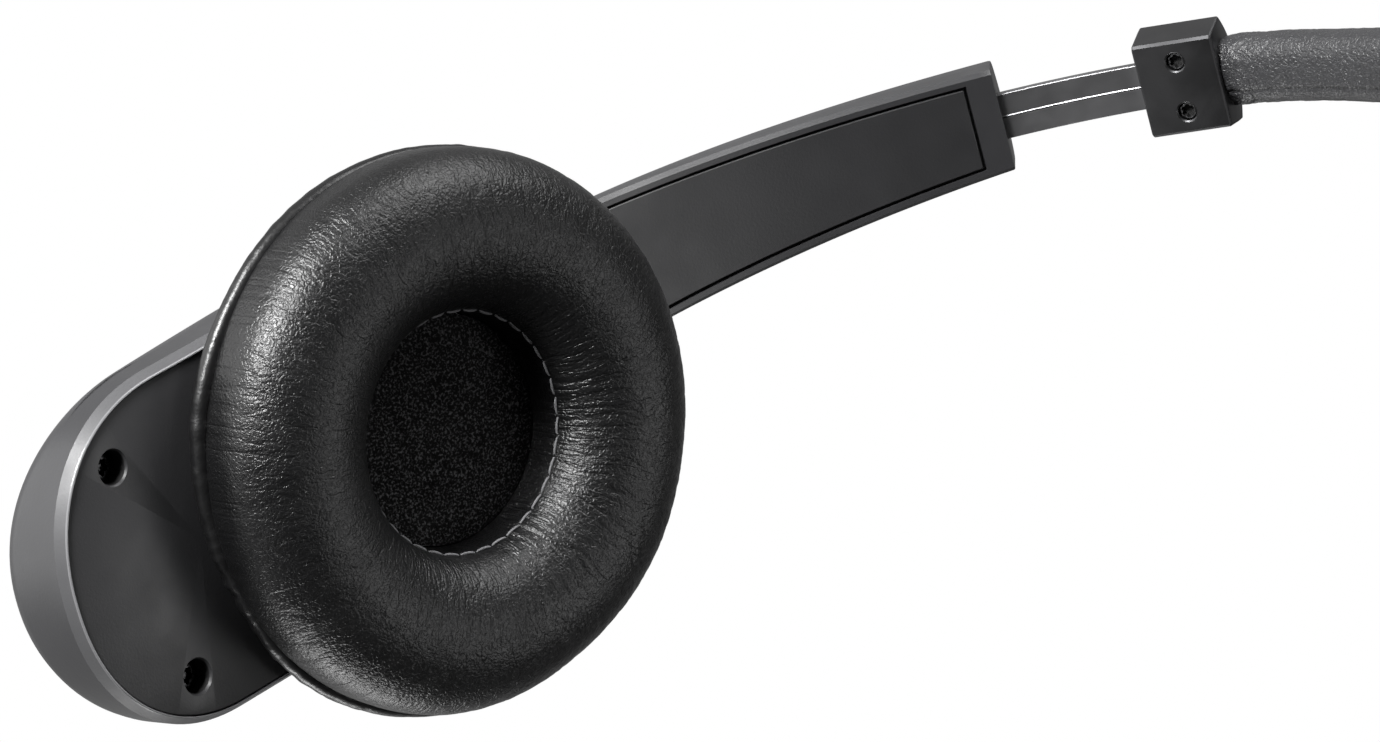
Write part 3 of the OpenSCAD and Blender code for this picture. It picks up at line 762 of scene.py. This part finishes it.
def build_scrim():
    """Knitted mesh over the speaker, slightly crowned."""
    step = 0.13
    count = 204
    rim_x = 0.7
    limit = 13.15
    axis = (np.arange(count) - (count - 1) / 2) * step
    y, z = np.meshgrid(axis, axis, indexing="ij")
    radius = np.hypot(y, z)
    shrink = np.where(radius > limit, limit / np.maximum(radius, 1e-6), 1)
    y = y * shrink
    z = z * shrink
    crowned = 0.55 * (1 - (np.minimum(radius, limit) / limit) ** 2)
    pitch = 2 * pi / 0.62
    loops = np.cos(y * pitch) * np.cos(z * pitch * 1.15 + np.cos(y * pitch) * 0.9)
    fuzz = np.random.default_rng(31).random(y.shape) - 0.5
    points = ear_place(1.0 + crowned + 0.06 * loops + 0.05 * fuzz, y, z)
    number = np.arange(count * count).reshape(count, count)
    inside = radius < limit + step * 1.2
    keep = inside[:-1, :-1] & inside[1:, :-1] & inside[:-1, 1:] & inside[1:, 1:]
    faces = [
        tuple(int(number[k]) for k in ((i, j), (i + 1, j), (i + 1, j + 1), (i, j + 1)))
        for i, j in zip(*np.nonzero(keep))
    ]
    sheet = make("right_scrim_knit", (points, faces), finish_of_slot["scrim"], 180)
    edit = bmesh.new()
    edit.from_mesh(sheet.data)
    loose = [v for v in edit.verts if not v.link_faces]
    bmesh.ops.delete(edit, geom=loose, context="VERTS")
    rim = [e for e in edit.edges if e.is_boundary]
    made = bmesh.ops.extrude_edge_only(edit, edges=rim)["geom"]
    for item in made:
        if isinstance(item, bmesh.types.BMVert):
            item.co.x = rim_x - HALF_SPAN
    rim = [e for e in edit.edges if e.is_boundary]
    bmesh.ops.contextual_create(edit, geom=rim)
    bmesh.ops.recalc_face_normals(edit, faces=edit.faces)
    edit.to_mesh(sheet.data)
    edit.free()
    soften(sheet, 60)
    return sheet


# ---- Pod, arm and cover -------------------------------------------------

def pod_stations():
    """Directions (y, t) round the pod and the spine height each faces."""
    arc = np.linspace(0, pi, 65)
    side = np.linspace(0, 1, 41)[1:-1]
    top = [(cos(a), sin(a), POD_HIGH) for a in arc]
    down = [(-1, 0, POD_HIGH + (POD_LOW - POD_HIGH) * s) for s in side]
    low = []
    for a in arc:
        # The lower end is a little blunter than a half circle
        full = 1 / (abs(cos(a)) ** 2.16 + sin(a) ** 2.16) ** (1 / 2.16)
        low.append((-cos(a) * full, -0.985 * sin(a) * full, POD_LOW))
    up = [(1, 0, POD_LOW + (POD_HIGH - POD_LOW) * s) for s in side]
    return np.array(top + down + low + up)


STATIONS = pod_stations()


def crown(y, t):
    """Depth of the pod's and arm's domed outer side."""
    reach = np.clip(0.69 * (61 - t), 11, 34.5)
    across = reach - np.sqrt(np.maximum(reach ** 2 - y ** 2, 0.01))
    below = np.minimum(t - 10, 0)
    along = 400 - np.sqrt(400 ** 2 - below ** 2)
    return -POD_DEPTH + across + along


def pod_loft(flat, crowned=()):
    """Rings round the pod from (inset, depth) pairs: first those of flat
    depth, then those measured from the crown."""
    rings = []
    for inset, depth in [*flat, *crowned]:
        y = STATIONS[:, 0] * (POD_R - inset)
        t = STATIONS[:, 2] + STATIONS[:, 1] * (POD_R - inset)
        x = depth + (0 if len(rings) < len(flat) else crown(y, t))
        rings.append(pod_place(x, y, t))
    return skin(rings, "open")


def smooth(share):
    """A smooth step from zero to one."""
    share = min(1, max(0, share))
    return share * share * (3 - 2 * share)


def taper(height):
    """Half width of the arm at a height in the ear's frame."""
    return 6.43 + (93.1 - height) * 0.0475


def arm_half_width(t):
    if t >= 46:
        angle = -LEAN + (t - ARM_T0) / ARM_R
        return taper(ARM_C[1] + ARM_R * sin(angle))
    return 8.73 + 10.77 * (1 + cos(pi * (t - 12) / 34)) / 2


def arm_section(t, inset=0.0):
    """One ring round the arm: its flat front, one side, its crown, and the
    other side."""
    edge = 0.5
    half = arm_half_width(t) - inset
    front = -7.4 - 0.7 * smooth((t - 26) / 12) - inset
    sink = 0.12 * max(0.0, (19 - t) / 5) + inset - 0.012
    lean = min(1.0, max(0.0, (t - ARM_LAST + 5) / 5)) * tan(
        radians(ARM_FACE - ARM_END))
    top = front - edge
    low = crown(half, t) + 0.85 + sink
    side_y = [half, half, half]
    side_x = [top + (low - top) * share for share in (0.0, 0.5, 1.0)]
    for step_y, step_x in ((0.18, 0.4), (0.5, 0.13)):
        side_y.append(half - step_y)
        side_x.append(float(crown(half - step_y, t)) + step_x + sink)
    back = np.linspace(half - 1.1, 1.1 - half, 33)
    y = np.concatenate([
        np.linspace(edge - half, half - edge, 13), side_y, back,
        [-across for across in side_y[::-1]],
    ])
    x = np.concatenate([
        [front] * 13, side_x, crown(back, t) + sink, side_x[::-1],
    ])
    return arm_place(x, y, t + lean * (front - x))


def arm_loft():
    rings = [arm_section(t) for t in np.arange(14, ARM_LAST - 1, 1.0)]
    rings.append(arm_section(ARM_LAST - 0.25))
    rings.append(arm_section(ARM_LAST - 0.07, 0.05))
    rings.append(arm_section(ARM_LAST, 0.18))
    return skin(rings)


def trim_solid(margin, top, low, gap, edge):
    """The long panel on the arm's inner face, or the recess it lies in."""
    start = -4 + gap
    stop = ARM_END - 1.9 - gap
    angles = np.linspace(start, stop, 46)
    if edge:
        lead = degrees(edge / ARM_R)
        angles[1:-1] = np.linspace(start + lead, stop - lead, 44)
    rings = []
    for number, angle in enumerate(angles):
        half = taper(ARM_C[1] + ARM_R * sin(radians(angle))) - margin
        crest = top + (edge if number in (0, len(angles) - 1) else 0)
        y = np.array([-half, -half, -half + edge, half - edge, half, half])
        radius = np.array([low, top + edge, crest, crest, top + edge, low])
        rings.append(arc_place(ARM_C, radius, y, angle))
    return skin(rings)


def build_shell():
    outer = [
        (POD_R, 0), (0.84, 0), (0.76, -0.025), (0.7, -0.085), (0.65, -0.17),
        (0, -1.3), (0, -2.6), (0, -4.5),
    ]
    dome = [(0, 2.2), (0.12, 1.35), (0.5, 0.7), (1.1, 0.28), (1.9, 0.07)]
    dome += [(inset, 0) for inset in (2.8, 4.5, 7, 10, 13, 16, POD_R)]
    shell = make("right_shell", pod_loft(outer, dome), finish_of_slot["shell"])
    boss = turned(
        [(0, -9), (11.5, -9), (11.5, -14.8), (11.3, -15), (0, -15)],
        on_pod(0, POD_LOW), 96,
    )
    weld(shell, arm_loft(), boss)
    hollow = [(POD_R, 1), (0.9, 1), (0.9, -2.4), (1.6, -2.4)]
    vault = [(1.6, 3.4), (2.2, 2.0)]
    vault += [(inset, 1.6) for inset in (3.5, 7, 11, 15, POD_R)]
    cut(shell, pod_loft(hollow, vault))
    cut(shell, trim_solid(1.15, 99.4, 100.9, 0, 0))
    cut(shell, strip(BAR_C, BAR_R, 1.56, BAR_HALF + 0.08, 12, BAR_START + 4, 40))
    posts = []
    for y, t in COVER_SCREWS:
        start = float(crown(abs(y), t)) + 1.3
        posts.append(turned(
            [(0, start), (2.6, start), (2.6, -5.3), (1.02, -5.3),
             (1.02, -9), (0, -9)],
            on_pod(y, t), 32,
        ))
    for t in (-11, 11):
        posts.append(turned(
            [(0, -14.2), (2.4, -14.2), (2.4, -9.25), (1.02, -9.25),
             (1.02, -12.5), (0, -12.5)],
            on_pod(0, t), 32,
        ))
    weld(shell, *posts)
    inward = Vector((cos(LEAN), 0, sin(LEAN)))
    lip = -0.16

    def on_rim(face, low, high):
        depth, t = pod_coordinates(face.center)
        return low < depth <= high and t <= 28.5

    # The rim faces get the painted highlight line.
    paint(shell, rim_highlight_finish, lambda face: on_rim(face, lip, 1))
    # The chamfer faces that turn inward get the painted highlight.
    paint(shell, bevel_highlight_finish, lambda face: on_rim(face, -1.35, lip)
          and face.normal.dot(inward) > 0.3)
    soften(shell, 27)
    return shell


def build_cover():
    profile = [(POD_R, -2.2), (1, -2.2), (1, -0.4), (1.06, -0.27), (1.2, -0.2),
               (POD_R, -0.2)]
    cover = make("right_cover", pod_loft(profile), cover_finish)
    post = [(0, -5.2), (2.6, -5.2), (2.6, -1.6), (0, -1.6)]
    hole = [(0, -6), (1.15, -6), (1.15, -3.6), (1.95, -3.6), (1.95, -0.45),
            (2.12, -0.22), (2.4, 0.1), (0, 0.1)]
    window = [(0, -4), (11, -4), (11, -0.45), (11.3, -0.15), (11.5, 0.2), (0, 0.2)]
    weld(cover, *[turned(post, on_pod(*at), 48) for at in COVER_SCREWS])
    cut(cover, *[turned(hole, on_pod(*at), 48) for at in COVER_SCREWS],
        turned(window, on_pod(0, 0.64), 96))
    # Faces deeper than the cover's face, in the screw holes and the speaker window, get
    # painted shade.
    paint(cover, recess_shade_finish, lambda face: pod_coordinates(face.center)[0] < -0.46)
    return cover


def star_screw(place, head_r, top, height, recess, shank, outward=1):
    """A screw whose head has a six-lobed recess. The shank is (radius,
    length) or nothing. The head faces +x if outward is 1."""
    angle = circle(72)
    star = 1 + 0.17 * np.cos(6 * angle)
    rows = [(0, -height, 0)]
    if shank:
        tip = -height - shank[1]
        rows = [(0, tip, 0), (shank[0] * 0.6, tip, 0), (shank[0], tip + 0.5, 0),
                (shank[0], -height, 0)]
    rows += [
        (head_r, -height, 0), (head_r, -0.35, 0), (head_r * 0.96, -0.14, 0),
        (head_r * 0.86, -0.03, 0), (head_r * 0.76, 0, 0),
        (recess * 1.06, 0, 1), (recess, -0.06, 1), (recess * 0.96, -0.75, 1),
        (recess * 0.3, -0.85, 0), (0, -0.9, 0),
    ]
    rings = []
    for radius, depth, lobed in rows:
        reach = radius * (star if lobed else 1)
        along = np.full(len(angle), top + depth * outward)
        rings.append(place(along, reach * np.cos(angle), reach * np.sin(angle)))
    return skin(rings, "open")


def build_cover_screws():
    screws = [
        star_screw(on_pod(*at), 1.85, -2.25, 1.3, 0.95, (1.0, 6.4))
        for at in COVER_SCREWS
    ]
    return make("right_cover_screw_set", join_parts(screws),
                finish_of_slot["screw"])


def build_trim():
    panel = trim_solid(1.56, 100.02, 100.82, 0.24, 0.1)
    return make("right_arm_panel", panel, cover_finish)


# ---- Slider bar, clamp block and sleeve ---------------------------------

def build_bar():
    """A flat bar with a raised crease along the middle of its inner side,
    and detent notches in one edge."""
    notch_pitch = 3
    notch_r = 0.7
    tip = BAR_START - degrees(20 / BAR_R)
    end = CLAMP_A + degrees(4 / BAR_R)
    depth = np.array([-0.48, -0.56, -0.55, -0.56, -0.63, -0.63, -0.4, -0.54,
                      -0.56, -0.48, 0.58, 0.7, 0.7, 0.58])
    rings = []
    for angle in np.linspace(tip, end, 241):
        from_tip = radians(angle - tip) * BAR_R
        near = min(abs(from_tip - notch_pitch * n) for n in range(1, 7))
        notch = sqrt(max(0.0, notch_r ** 2 - near ** 2)) - notch_r / 2
        start = min(1.0, 0.75 + from_tip * 0.5)
        up = BAR_HALF * start - max(0.0, notch)
        low = -BAR_HALF * start
        y = np.array([low, low + 0.08, -0.16, -0.12, -0.03, 0.02, 0.1, 0.2,
                      up - 0.08, up, up, up - 0.12, low + 0.12, low])
        rings.append(arc_place(BAR_C, BAR_R + depth, y, angle))
    return make("right_bar", skin(rings), finish_of_slot["bar_steel"], sharp=12)


def build_block():
    """The clamp block: flat outside, domed inside, flared a little, with
    slots for the bar, the band and the cable."""
    middle_x = 0.75
    half_x = 3.75
    dome_r2 = 90.25
    flare = 0.173
    back = np.linspace(6.1, -6.1, 29)
    side_x = np.array([-2.72, -1, 0.8, 1.9])
    side_y = CLAMP_HALF + flare * (side_x + 3)
    side_y[-1] -= 0.06
    face_y = CLAMP_HALF - 0.28
    y = np.concatenate([[-face_y, 0, face_y], side_y, back, -side_y[::-1]])
    x = np.concatenate([
        [-3, -3, -3], side_x, -5 + np.sqrt(dome_r2 - back ** 2), side_x[::-1],
    ])
    rings = []
    for z, inset in ((-5, 0.24), (-4.93, 0.1), (-4.76, 0), (0, 0), (4.76, 0),
                     (4.93, 0.1), (5, 0.24)):
        grow_y = (CLAMP_HALF - inset) / CLAMP_HALF
        grow_x = (half_x - inset) / half_x
        rings.append(clamp_place(middle_x + (x - middle_x) * grow_x, y * grow_y, z))
    made = make("right_block", skin(rings), finish_of_slot["clamp"])

    def on_edge(face):
        ways = (CLAMP_OUT, CLAMP_ALONG, Vector((0, 1, 0)))
        facing = sorted(abs(face.normal.dot(way)) for way in ways)
        return facing[1] > 0.25 and clamp_depth_of(face.center) < 1.9

    # The chamfers get the painted shade.
    paint(made, block_edge_shade_finish, on_edge)
    hole = [(0, -3.2), (1.5, -3.2), (1.3, -2.98), (1.15, -2.85), (1.15, -0.8),
            (0, -0.8)]
    cut(made, *[turned(hole, on_clamp(side), 40) for side in CLAMP_SCREWS])
    cut(made, strip(BAR_C, BAR_R, 1.52, BAR_HALF + 0.06, CLAMP_A - 9,
                    CLAMP_A + degrees(4.1 / BAR_R)))
    cut(made, strip(SHOULDER_C, SHOULDER_R, 0.92, 3.06,
                    CLAMP_A - degrees(4.1 / SHOULDER_R), CLAMP_A + 12))
    cut(made, strip(SHOULDER_C, SHOULDER_R + 0.95, 0.7, 1.4, CLAMP_A - 12,
                    CLAMP_A + 12))
    return made


def build_set_screws():
    parts = [
        star_screw(on_clamp(side), 1.1, -2.5, 1.75, 0.78, None, outward=-1)
        for side in CLAMP_SCREWS
    ]
    screws = make("right_set_screws", join_parts(parts), set_screw_finish)
    # The recesses of the set screws, and their hidden sides, get painted shade.
    paint(screws, recess_shade_finish, lambda face: clamp_depth_of(face.center) > -2.42)
    return screws


def band_path():
    """Points, outward directions and lengths along the whole band."""
    start = CLAMP_A + degrees(5.2 / SHOULDER_R)
    bend = radians(KNEE - start) * SHOULDER_R
    half_length = bend + radians(90 - KNEE) * TOP_R
    side = np.concatenate([
        np.arange(0, 14, 0.28), np.arange(14, half_length, 0.62)
    ])
    lengths = np.concatenate([side, [half_length], 2 * half_length - side[::-1]])
    points = []
    outward = []
    for s in lengths:
        from_end = min(s, 2 * half_length - s)
        if from_end < bend:
            facing = out_of(start + degrees(from_end / SHOULDER_R))
            at = SHOULDER_C + SHOULDER_R * facing
        else:
            facing = out_of(KNEE + degrees((from_end - bend) / TOP_R))
            at = np.array(TOP_C) + TOP_R * facing
        side_sign = 1 if s <= half_length else -1
        points.append((side_sign * (at[0] - HALF_SPAN), at[1]))
        outward.append((side_sign * facing[0], facing[1]))
    return np.array(points), np.array(outward), lengths, half_length


def build_sleeve():
    """The leather sleeve round the band, gathered at the clamps, with a
    lapped seam along its underside."""
    at, outward, lengths, half_length = band_path()
    widened = 31
    size = 112
    b = circle(size)
    x = at[:, 0]
    widen = np.where(
        np.abs(x) < widened, (1 + np.cos(np.pi * x / widened)) / 2, 0)
    width = 4.3 + 0.9 * widen
    thick = 3.0 + 0.18 * (width - 4.3)
    total = 2 * half_length
    from_end = np.minimum(lengths, total - lengths)[:, None]
    turn = 23.0
    u = lengths[:, None] * np.ones((1, size))
    v = b[None, :] / (2 * pi) * turn * np.ones((len(lengths), 1))
    from_seam = (b[None, :] - radians(296)) * 3.6
    slant = u + 0.8 * (v - turn / 2)
    flat = (u, v, total, turn)
    warp = 1.6 * (ring_noise(*flat, 2.5, 2.5, 41) - 0.5)
    folds = crease_lines(
        ring_noise(np.clip(slant + warp + 12, 0, None), v + warp, total + 40, turn,
                   1.5, 5.0, 42), 3)
    fine = crease_lines(ring_noise(u + warp, v, total, turn, 0.9, 1.2, 43), 3)
    grain = ring_noise(*flat, 0.5, 0.5, 44) - 0.5
    near_clamp = hump(from_end, 0, 4.5)
    lip = np.where((from_seam > 0) & (from_seam < 2.6), 0.16, 0)
    relief = (
        0.14 * hump(from_end, 2.0, 1.4) - folds * (0.24 * near_clamp + 0.02)
        - fine * (0.07 * near_clamp + 0.03) + 0.05 * grain
        - 0.34 * hump(from_seam, 0, 0.2) - lip
    )
    # The section is a little fuller than an ellipse
    full = 1 / (np.abs(np.cos(b)) ** 2.4 + np.abs(np.sin(b)) ** 2.4) ** (1 / 2.4)
    full = full * (1 + relief / 3.8)
    across = width[:, None] * np.cos(b) * full
    lift = thick[:, None] * np.sin(b) * full
    rings = np.stack([
        x[:, None] + outward[:, :1] * lift,
        across,
        at[:, 1:2] + outward[:, 1:] * lift,
    ], axis=-1)
    return make("band_sleeve", skin(rings), finish_of_slot["band_leatherette"],
                sharp=60)


# ---- Boom and controls --------------------------------------------------

def side_box(low, high, edge):
    """A box with rounded edges, as a superellipse stack that points out of
    the pod's side. Its corners are (out of the side, depth, along)."""
    mid_x = (low[1] + high[1]) / 2
    mid_t = (low[2] + high[2]) / 2
    half_x = (high[1] - low[1]) / 2
    half_t = (high[2] - low[2]) / 2
    angle = circle(64)
    c = np.sign(np.cos(angle)) * np.abs(np.cos(angle)) ** 0.35
    s = np.sign(np.sin(angle)) * np.abs(np.sin(angle)) ** 0.35
    rings = []
    for y, inset in (
        (low[0], half_x), (low[0], edge), (low[0] + edge * 0.3, edge * 0.3),
        (low[0] + edge, 0), (high[0] - edge, 0),
        (high[0] - edge * 0.3, edge * 0.3), (high[0], edge), (high[0], half_x),
    ):
        reach_x = max(half_x - inset, 0)
        reach_t = max(half_t - inset, 0) if reach_x else 0
        rings.append(pod_place(mid_x + reach_x * c, y, mid_t + reach_t * s))
    return skin(rings, "open")


def tube(path, radii, size=28):
    """A round tube in the boom's frame along path points (x, z)."""
    path = np.asarray(path, float)
    heading = np.gradient(path, axis=0)
    heading /= np.linalg.norm(heading, axis=1, keepdims=True)
    b = circle(size)
    rings = []
    for (x, z), (head_x, head_z), radius in zip(path, heading, radii):
        rings.append(boom_place(
            x + radius * np.cos(b) * head_z, radius * np.sin(b),
            z - radius * np.cos(b) * head_x,
        ))
    return skin(rings)


def along_boom(along, across, up):
    return boom_place(up, across, along)


def along_tip(along, across, up):
    return tip_place(up, across, along)


def at_grille(y0=0, z0=0):
    """Places on the microphone's inner side, from an origin at (y0, z0)."""
    return lambda along, across, up: tip_place(along, across + y0, 13 + up + z0)


def build_hub():
    profile = [
        (0, -20.1), (7.2, -20.1), (7.6, -20.15), (8.2, -20.4), (9.4, -20.4),
        (10.0, -20.22), (10.35, -19.9), (10.5, -19.4), (10.5, -15.5),
        (10.3, -15.1), (4, -15.1), (4, -9.4), (0, -9.4),
    ]
    stub = [(0, 5), (2.8, 5), (2.8, 14.1), (2.6, 14.5), (0, 14.5)]
    bore = [(0, 6.9), (2.45, 6.9), (2.45, 14.4), (2.6, 14.6), (2.6, 16), (0, 16)]
    body = turned(profile, on_pod(0, POD_LOW), 128)
    hub = make("boom_hub_body", body, cover_finish)
    weld(hub, turned(stub, along_boom, 48))
    cut(hub, turned(bore, along_boom, 48))
    return hub


def build_boom():
    """The boom's tube: a straight root, then a long bend with fine rings."""
    straight = 26
    path = [(0, z) for z in (7, 7.3, 10, 14, 18, 22, 24.5, 25.5, straight)]
    radii = [2.2, 2.4, 2.4, 2.4, 2.4, 2.4, 2.4, 2.34, 2.22]
    for angle in np.linspace(0.5, BOOM_BEND, 70):
        turn = radians(angle)
        path.append((
            BOOM_BEND_R * (1 - cos(turn)),
            straight + BOOM_BEND_R * sin(turn),
        ))
        ring = 0.1 * max(0.0, cos(turn * BOOM_BEND_R * 2 * pi / 1.2))
        radii.append(2.2 - ring * (angle < 35))
    return make("boom_tube", tube(path, radii), inside_finish)


def build_mic():
    profile = [(0, 0.05), (2.9, 0.05), (3.5, 0.4), (3.9, 1.0), (4.12, 1.9),
               (4.2, 3.0), (4.2, 3.5), (4.02, 3.6), (4.02, 4.0), (4.2, 4.1)]
    profile += [(4.2, z) for z in (6, 9, 12, 15)]
    profile += [
        (4.2 * cos(a), 15 + 4.2 * sin(a))
        for a in np.linspace(0.15, pi / 2, 12)
    ]
    hole = [(0, 0), (3.1, 0), (3.1, 3.4), (3.25, 3.9), (3.6, 6), (0, 6)]
    mic = make("mic_body", turned(profile, along_tip, 72), inside_finish)
    cut(mic, turned(hole, at_grille(), 64))
    return mic


def build_grille():
    """A disc with three rings of sound holes."""
    hole = [(0, 2.5), (0.3, 2.5), (0.3, 4), (0, 4)]
    holes = []
    for ring, count in ((0, 1), (1.05, 6), (2.1, 12)):
        for a in circle(count):
            at = at_grille(ring * cos(a), ring * sin(a))
            holes.append(turned(hole, at, 16))
    disc = turned([(0, 2.9), (3, 2.9), (3, 3.5), (2.8, 3.68), (0, 3.7)],
                  at_grille(), 64)
    grille = make("mic_screen", disc, inside_finish)
    cut(grille, *holes)
    return grille


def build_call_button():
    profile = [(0, -11.8), (6, -11.8), (6, -12.7), (5, -12.7), (5, -15.6),
               (4.85, -15.9), (4.5, -16.08), (4.0, -16.1), (2.2, -15.95),
               (0, -15.9)]
    mark = [(0, -15.7), (0.55, -15.7), (0.55, -16.0), (0.4, -16.08), (0, -16.1)]
    button = make("call_button_cap", turned(profile, on_pod(0, CALL_T), 72),
                  button_finish)
    weld(button, turned(mark, on_pod(0, CALL_T), 24))
    return button


def build_volume(node):
    """A rocker with a raised bar, and a cross bar on the louder one."""
    t = ROCKERS[node]
    cap = side_box((17.1, -7.5, t - 4), (POD_R + 0.6, -4.5, t + 4), 0.35)
    button = make(node + "_cap", cap, button_finish)
    weld(button, side_box((20.7, -6.2, t - 1.1), (21.02, -5.8, t + 1.1), 0.08))
    if node == "volume_up":
        weld(button, side_box((20.7, -7.0, t - 0.2), (21.0, -5.0, t + 0.2), 0.06))
    return button


def build_end_cap():
    profile = [(0, -15.05), (10.6, -15.05), (10.8, -15.25), (10.8, -16.0),
               (10.68, -16.25), (10.4, -16.4), (9.2, -16.4), (9.0, -16.28),
               (8.8, -16.28), (8.6, -16.4), (0, -16.4)]
    disc = turned(profile, on_pod(0, POD_LOW), 128)
    return make("right_blank_cap", disc, cover_finish)


def cut_left_shell(shell):
    """Openings of the left shell, drawn on the right and mirrored."""
    cuts = [
        turned([(0, -16), (4.05, -16), (4.05, -6), (0, -6)],
               on_pod(0, POD_LOW), 48),
        turned([(0, -17), (5.3, -17), (5.25, -15.3), (5.1, -15.0), (5.1, -11),
                (0, -11)], on_pod(0, CALL_T), 64),
        turned([(0, -17), (1.05, -17), (1.05, -11), (0, -11)], on_pod(6, 12), 24),
        pod_box((-8.9, -4.6, -55), (-5.5, 4.6, -45)),
    ]
    for t in ROCKERS.values():
        cuts.append(pod_box((-7.6, 15, t - 4.1), (-4.4, 23, t + 4.1)))
    points, faces = join_parts(cuts)
    cut(shell, (points * np.array([-1, 1, 1]), [face[::-1] for face in faces]))


# ---- Build everything ---------------------------------------------------

for build, piece_name, node_name, stands_for in (
    (build_cushion, "cushion_leather", "cushion", True),
    (build_piping, "cushion_piping", "cushion", False),
    (build_stitches, "cushion_stitches", "cushion", False),
    (build_scrim, "scrim_knit", "scrim", True),
    (build_cover, "cover", "inner_cover", True),
    (build_cover_screws, "cover_screw_set", "cover_screws", True),
    (build_trim, "arm_panel", "arm_trim", True),
    (build_bar, "bar", "slider_bar", True),
    (build_block, "block", "clamp_block", True),
    (build_set_screws, "set_screws", "clamp_screws", True),
):
    both_ears(build(), piece_name, node_name, stands_for)

right_shell = build_shell()
left_shell = mirrored(right_shell, "left_shell")
cut_left_shell(left_shell)
place_piece(right_shell, "right_outer_shell")
place_piece(left_shell, "left_outer_shell")
place_piece(build_end_cap(), "right_end_cap")
place_piece(build_sleeve(), "leather_sleeve")

for build, node_name in (
    (build_hub, "boom_hub"), (build_boom, "boom_arm"), (build_mic, "mic_housing"),
    (build_grille, "mic_grille"), (build_call_button, "call_button"),
):
    place_left(build(), node_name)
for rocker in ROCKERS:
    place_left(build_volume(rocker), rocker)


# ---- Camera, light and floor --------------------------------------------

RIGHT = Vector((0.628205, 0.25052, 0.736613)).normalized()
BACK = Vector((0.773594, -0.302274, -0.556941)).normalized()
UP = BACK.cross(RIGHT).normalized()
EYE = Vector((0.654633, -0.270316, -0.476688))

camera_data = bpy.data.cameras.new("camera")
camera_data.sensor_fit = "HORIZONTAL"
camera_data.sensor_width = 36
camera_data.lens = 208.696
# The near plane leaves out the left ear, which would stand in front
camera_data.clip_start = 0.855
camera_data.clip_end = 50
camera = add_object("camera", camera_data)
turn = Matrix((RIGHT, UP, BACK)).transposed().to_4x4()
camera.matrix_world = Matrix.Translation(EYE) @ turn
scene.camera = camera
scene.view_settings.view_transform = "Standard"

TARGET = Vector((-0.055, 0.0, 0.02))


def softbox(name, toward, distance, size, watts, glossy=True):
    """An area light aimed at the headset, placed toward camera directions
    (right, up, back)."""
    right, up, back = toward
    direction = (RIGHT * right + UP * up + BACK * back).normalized()
    data = bpy.data.lights.new(name, "AREA")
    data.shape = "RECTANGLE"
    data.size, data.size_y = size
    data.energy = watts
    light = add_object(name, data)
    side = UP.cross(direction).normalized()
    basis = Matrix((side, direction.cross(side), direction)).transposed()
    light.matrix_world = (
        Matrix.Translation(TARGET + direction * distance) @ basis.to_4x4()
    )
    light.visible_camera = False
    light.visible_glossy = glossy


softbox("key", (-0.46, 0.53, 0.71), 0.9, (0.17, 0.34), 21.0)
softbox("left_fill", (-0.95, 0.1, 0.1), 0.8, (1.0, 1.0), 5.0)
softbox("top_fill", (0.45, 0.85, 0.1), 0.7, (0.4, 0.4), 3.5)
softbox("right_fill", (0.97, -0.13, 0.2), 0.8, (0.4, 0.6), 1.6)
softbox("low_fill", (-0.15, -0.92, -0.3), 0.8, (0.4, 0.3), 3.5)
softbox("rear_fill", (0.0, 0.1, -1.0), 0.9, (0.9, 0.9), 16.0, glossy=False)

# The camera sees a white background. The headset is lit by a grey room that
# is brighter on one side.
world = bpy.data.worlds.new("studio")
scene.world = world
world.use_nodes = True
tree = world.node_tree
tree.nodes.clear()
bright_side = (RIGHT * -0.85 + UP * 0.2 + BACK * -0.5).normalized()
toward_side = add_node(tree, "VectorMath", "Value", {
    0: add_node(tree, "TexCoord", "Generated"), 1: bright_side,
}, operation="DOT_PRODUCT")
glow = add_node(tree, "MapRange", "Result", {
    "Value": toward_side, "From Min": -0.5, "From Max": 1.0,
    "To Min": 0.05, "To Max": 0.7,
})
room = add_node(tree, "Background", "Background", {"Strength": glow})
paper = add_node(tree, "Background", "Background",
                 {"Color": (1, 1, 1, 1), "Strength": 1.0})
seen = add_node(tree, "MixShader", "Shader", {
    "Fac": add_node(tree, "LightPath", "Is Camera Ray"), 1: room, 2: paper})
tree.links.new(seen, tree.nodes.new("ShaderNodeOutputWorld").inputs["Surface"])

# The floor is seen only from above, because the camera looks up at the
# headset from below it. The boom has room to hang straight down over it.
BOOM_ROOM = 62.5
floor_z = cad_box[0][2] / MM - BOOM_ROOM
span = 1500
corners = [(-span, -span), (span, -span), (span, span), (-span, span)]
floor_finish = Finish("floor_paper", (0.5, 0.5, 0.5), 0.95, specular=0.0)
floor_finish.mix_colour(floor_finish.noise(6, 2), (0.48, 0.48, 0.48),
                        (0.5, 0.5, 0.5))
floor_finish.shader.inputs["Emission Color"].default_value = (1, 1, 1, 1)
floor_finish.shader.inputs["Emission Strength"].default_value = 0.62
one_sided = floor_finish.add("MixShader", "Shader", {
    "Fac": floor_finish.add("NewGeometry", "Backfacing"),
    1: floor_finish.shader.outputs["BSDF"],
    2: floor_finish.add("BsdfTransparent", "BSDF"),
})
floor_finish.tree.links.new(
    one_sided, floor_finish.tree.nodes["Material Output"].inputs["Surface"])
floor_shape = ([(x, y, floor_z) for x, y in corners], [(0, 1, 2, 3)])
floor = make("floor", floor_shape, floor_finish.material)
floor.data.transform(Matrix.Scale(MM, 4))
if floor.data.polygons[0].normal.z < 0:
    floor.data.flip_normals()
floor.visible_shadow = False
floor.visible_diffuse = False
floor.visible_glossy = False
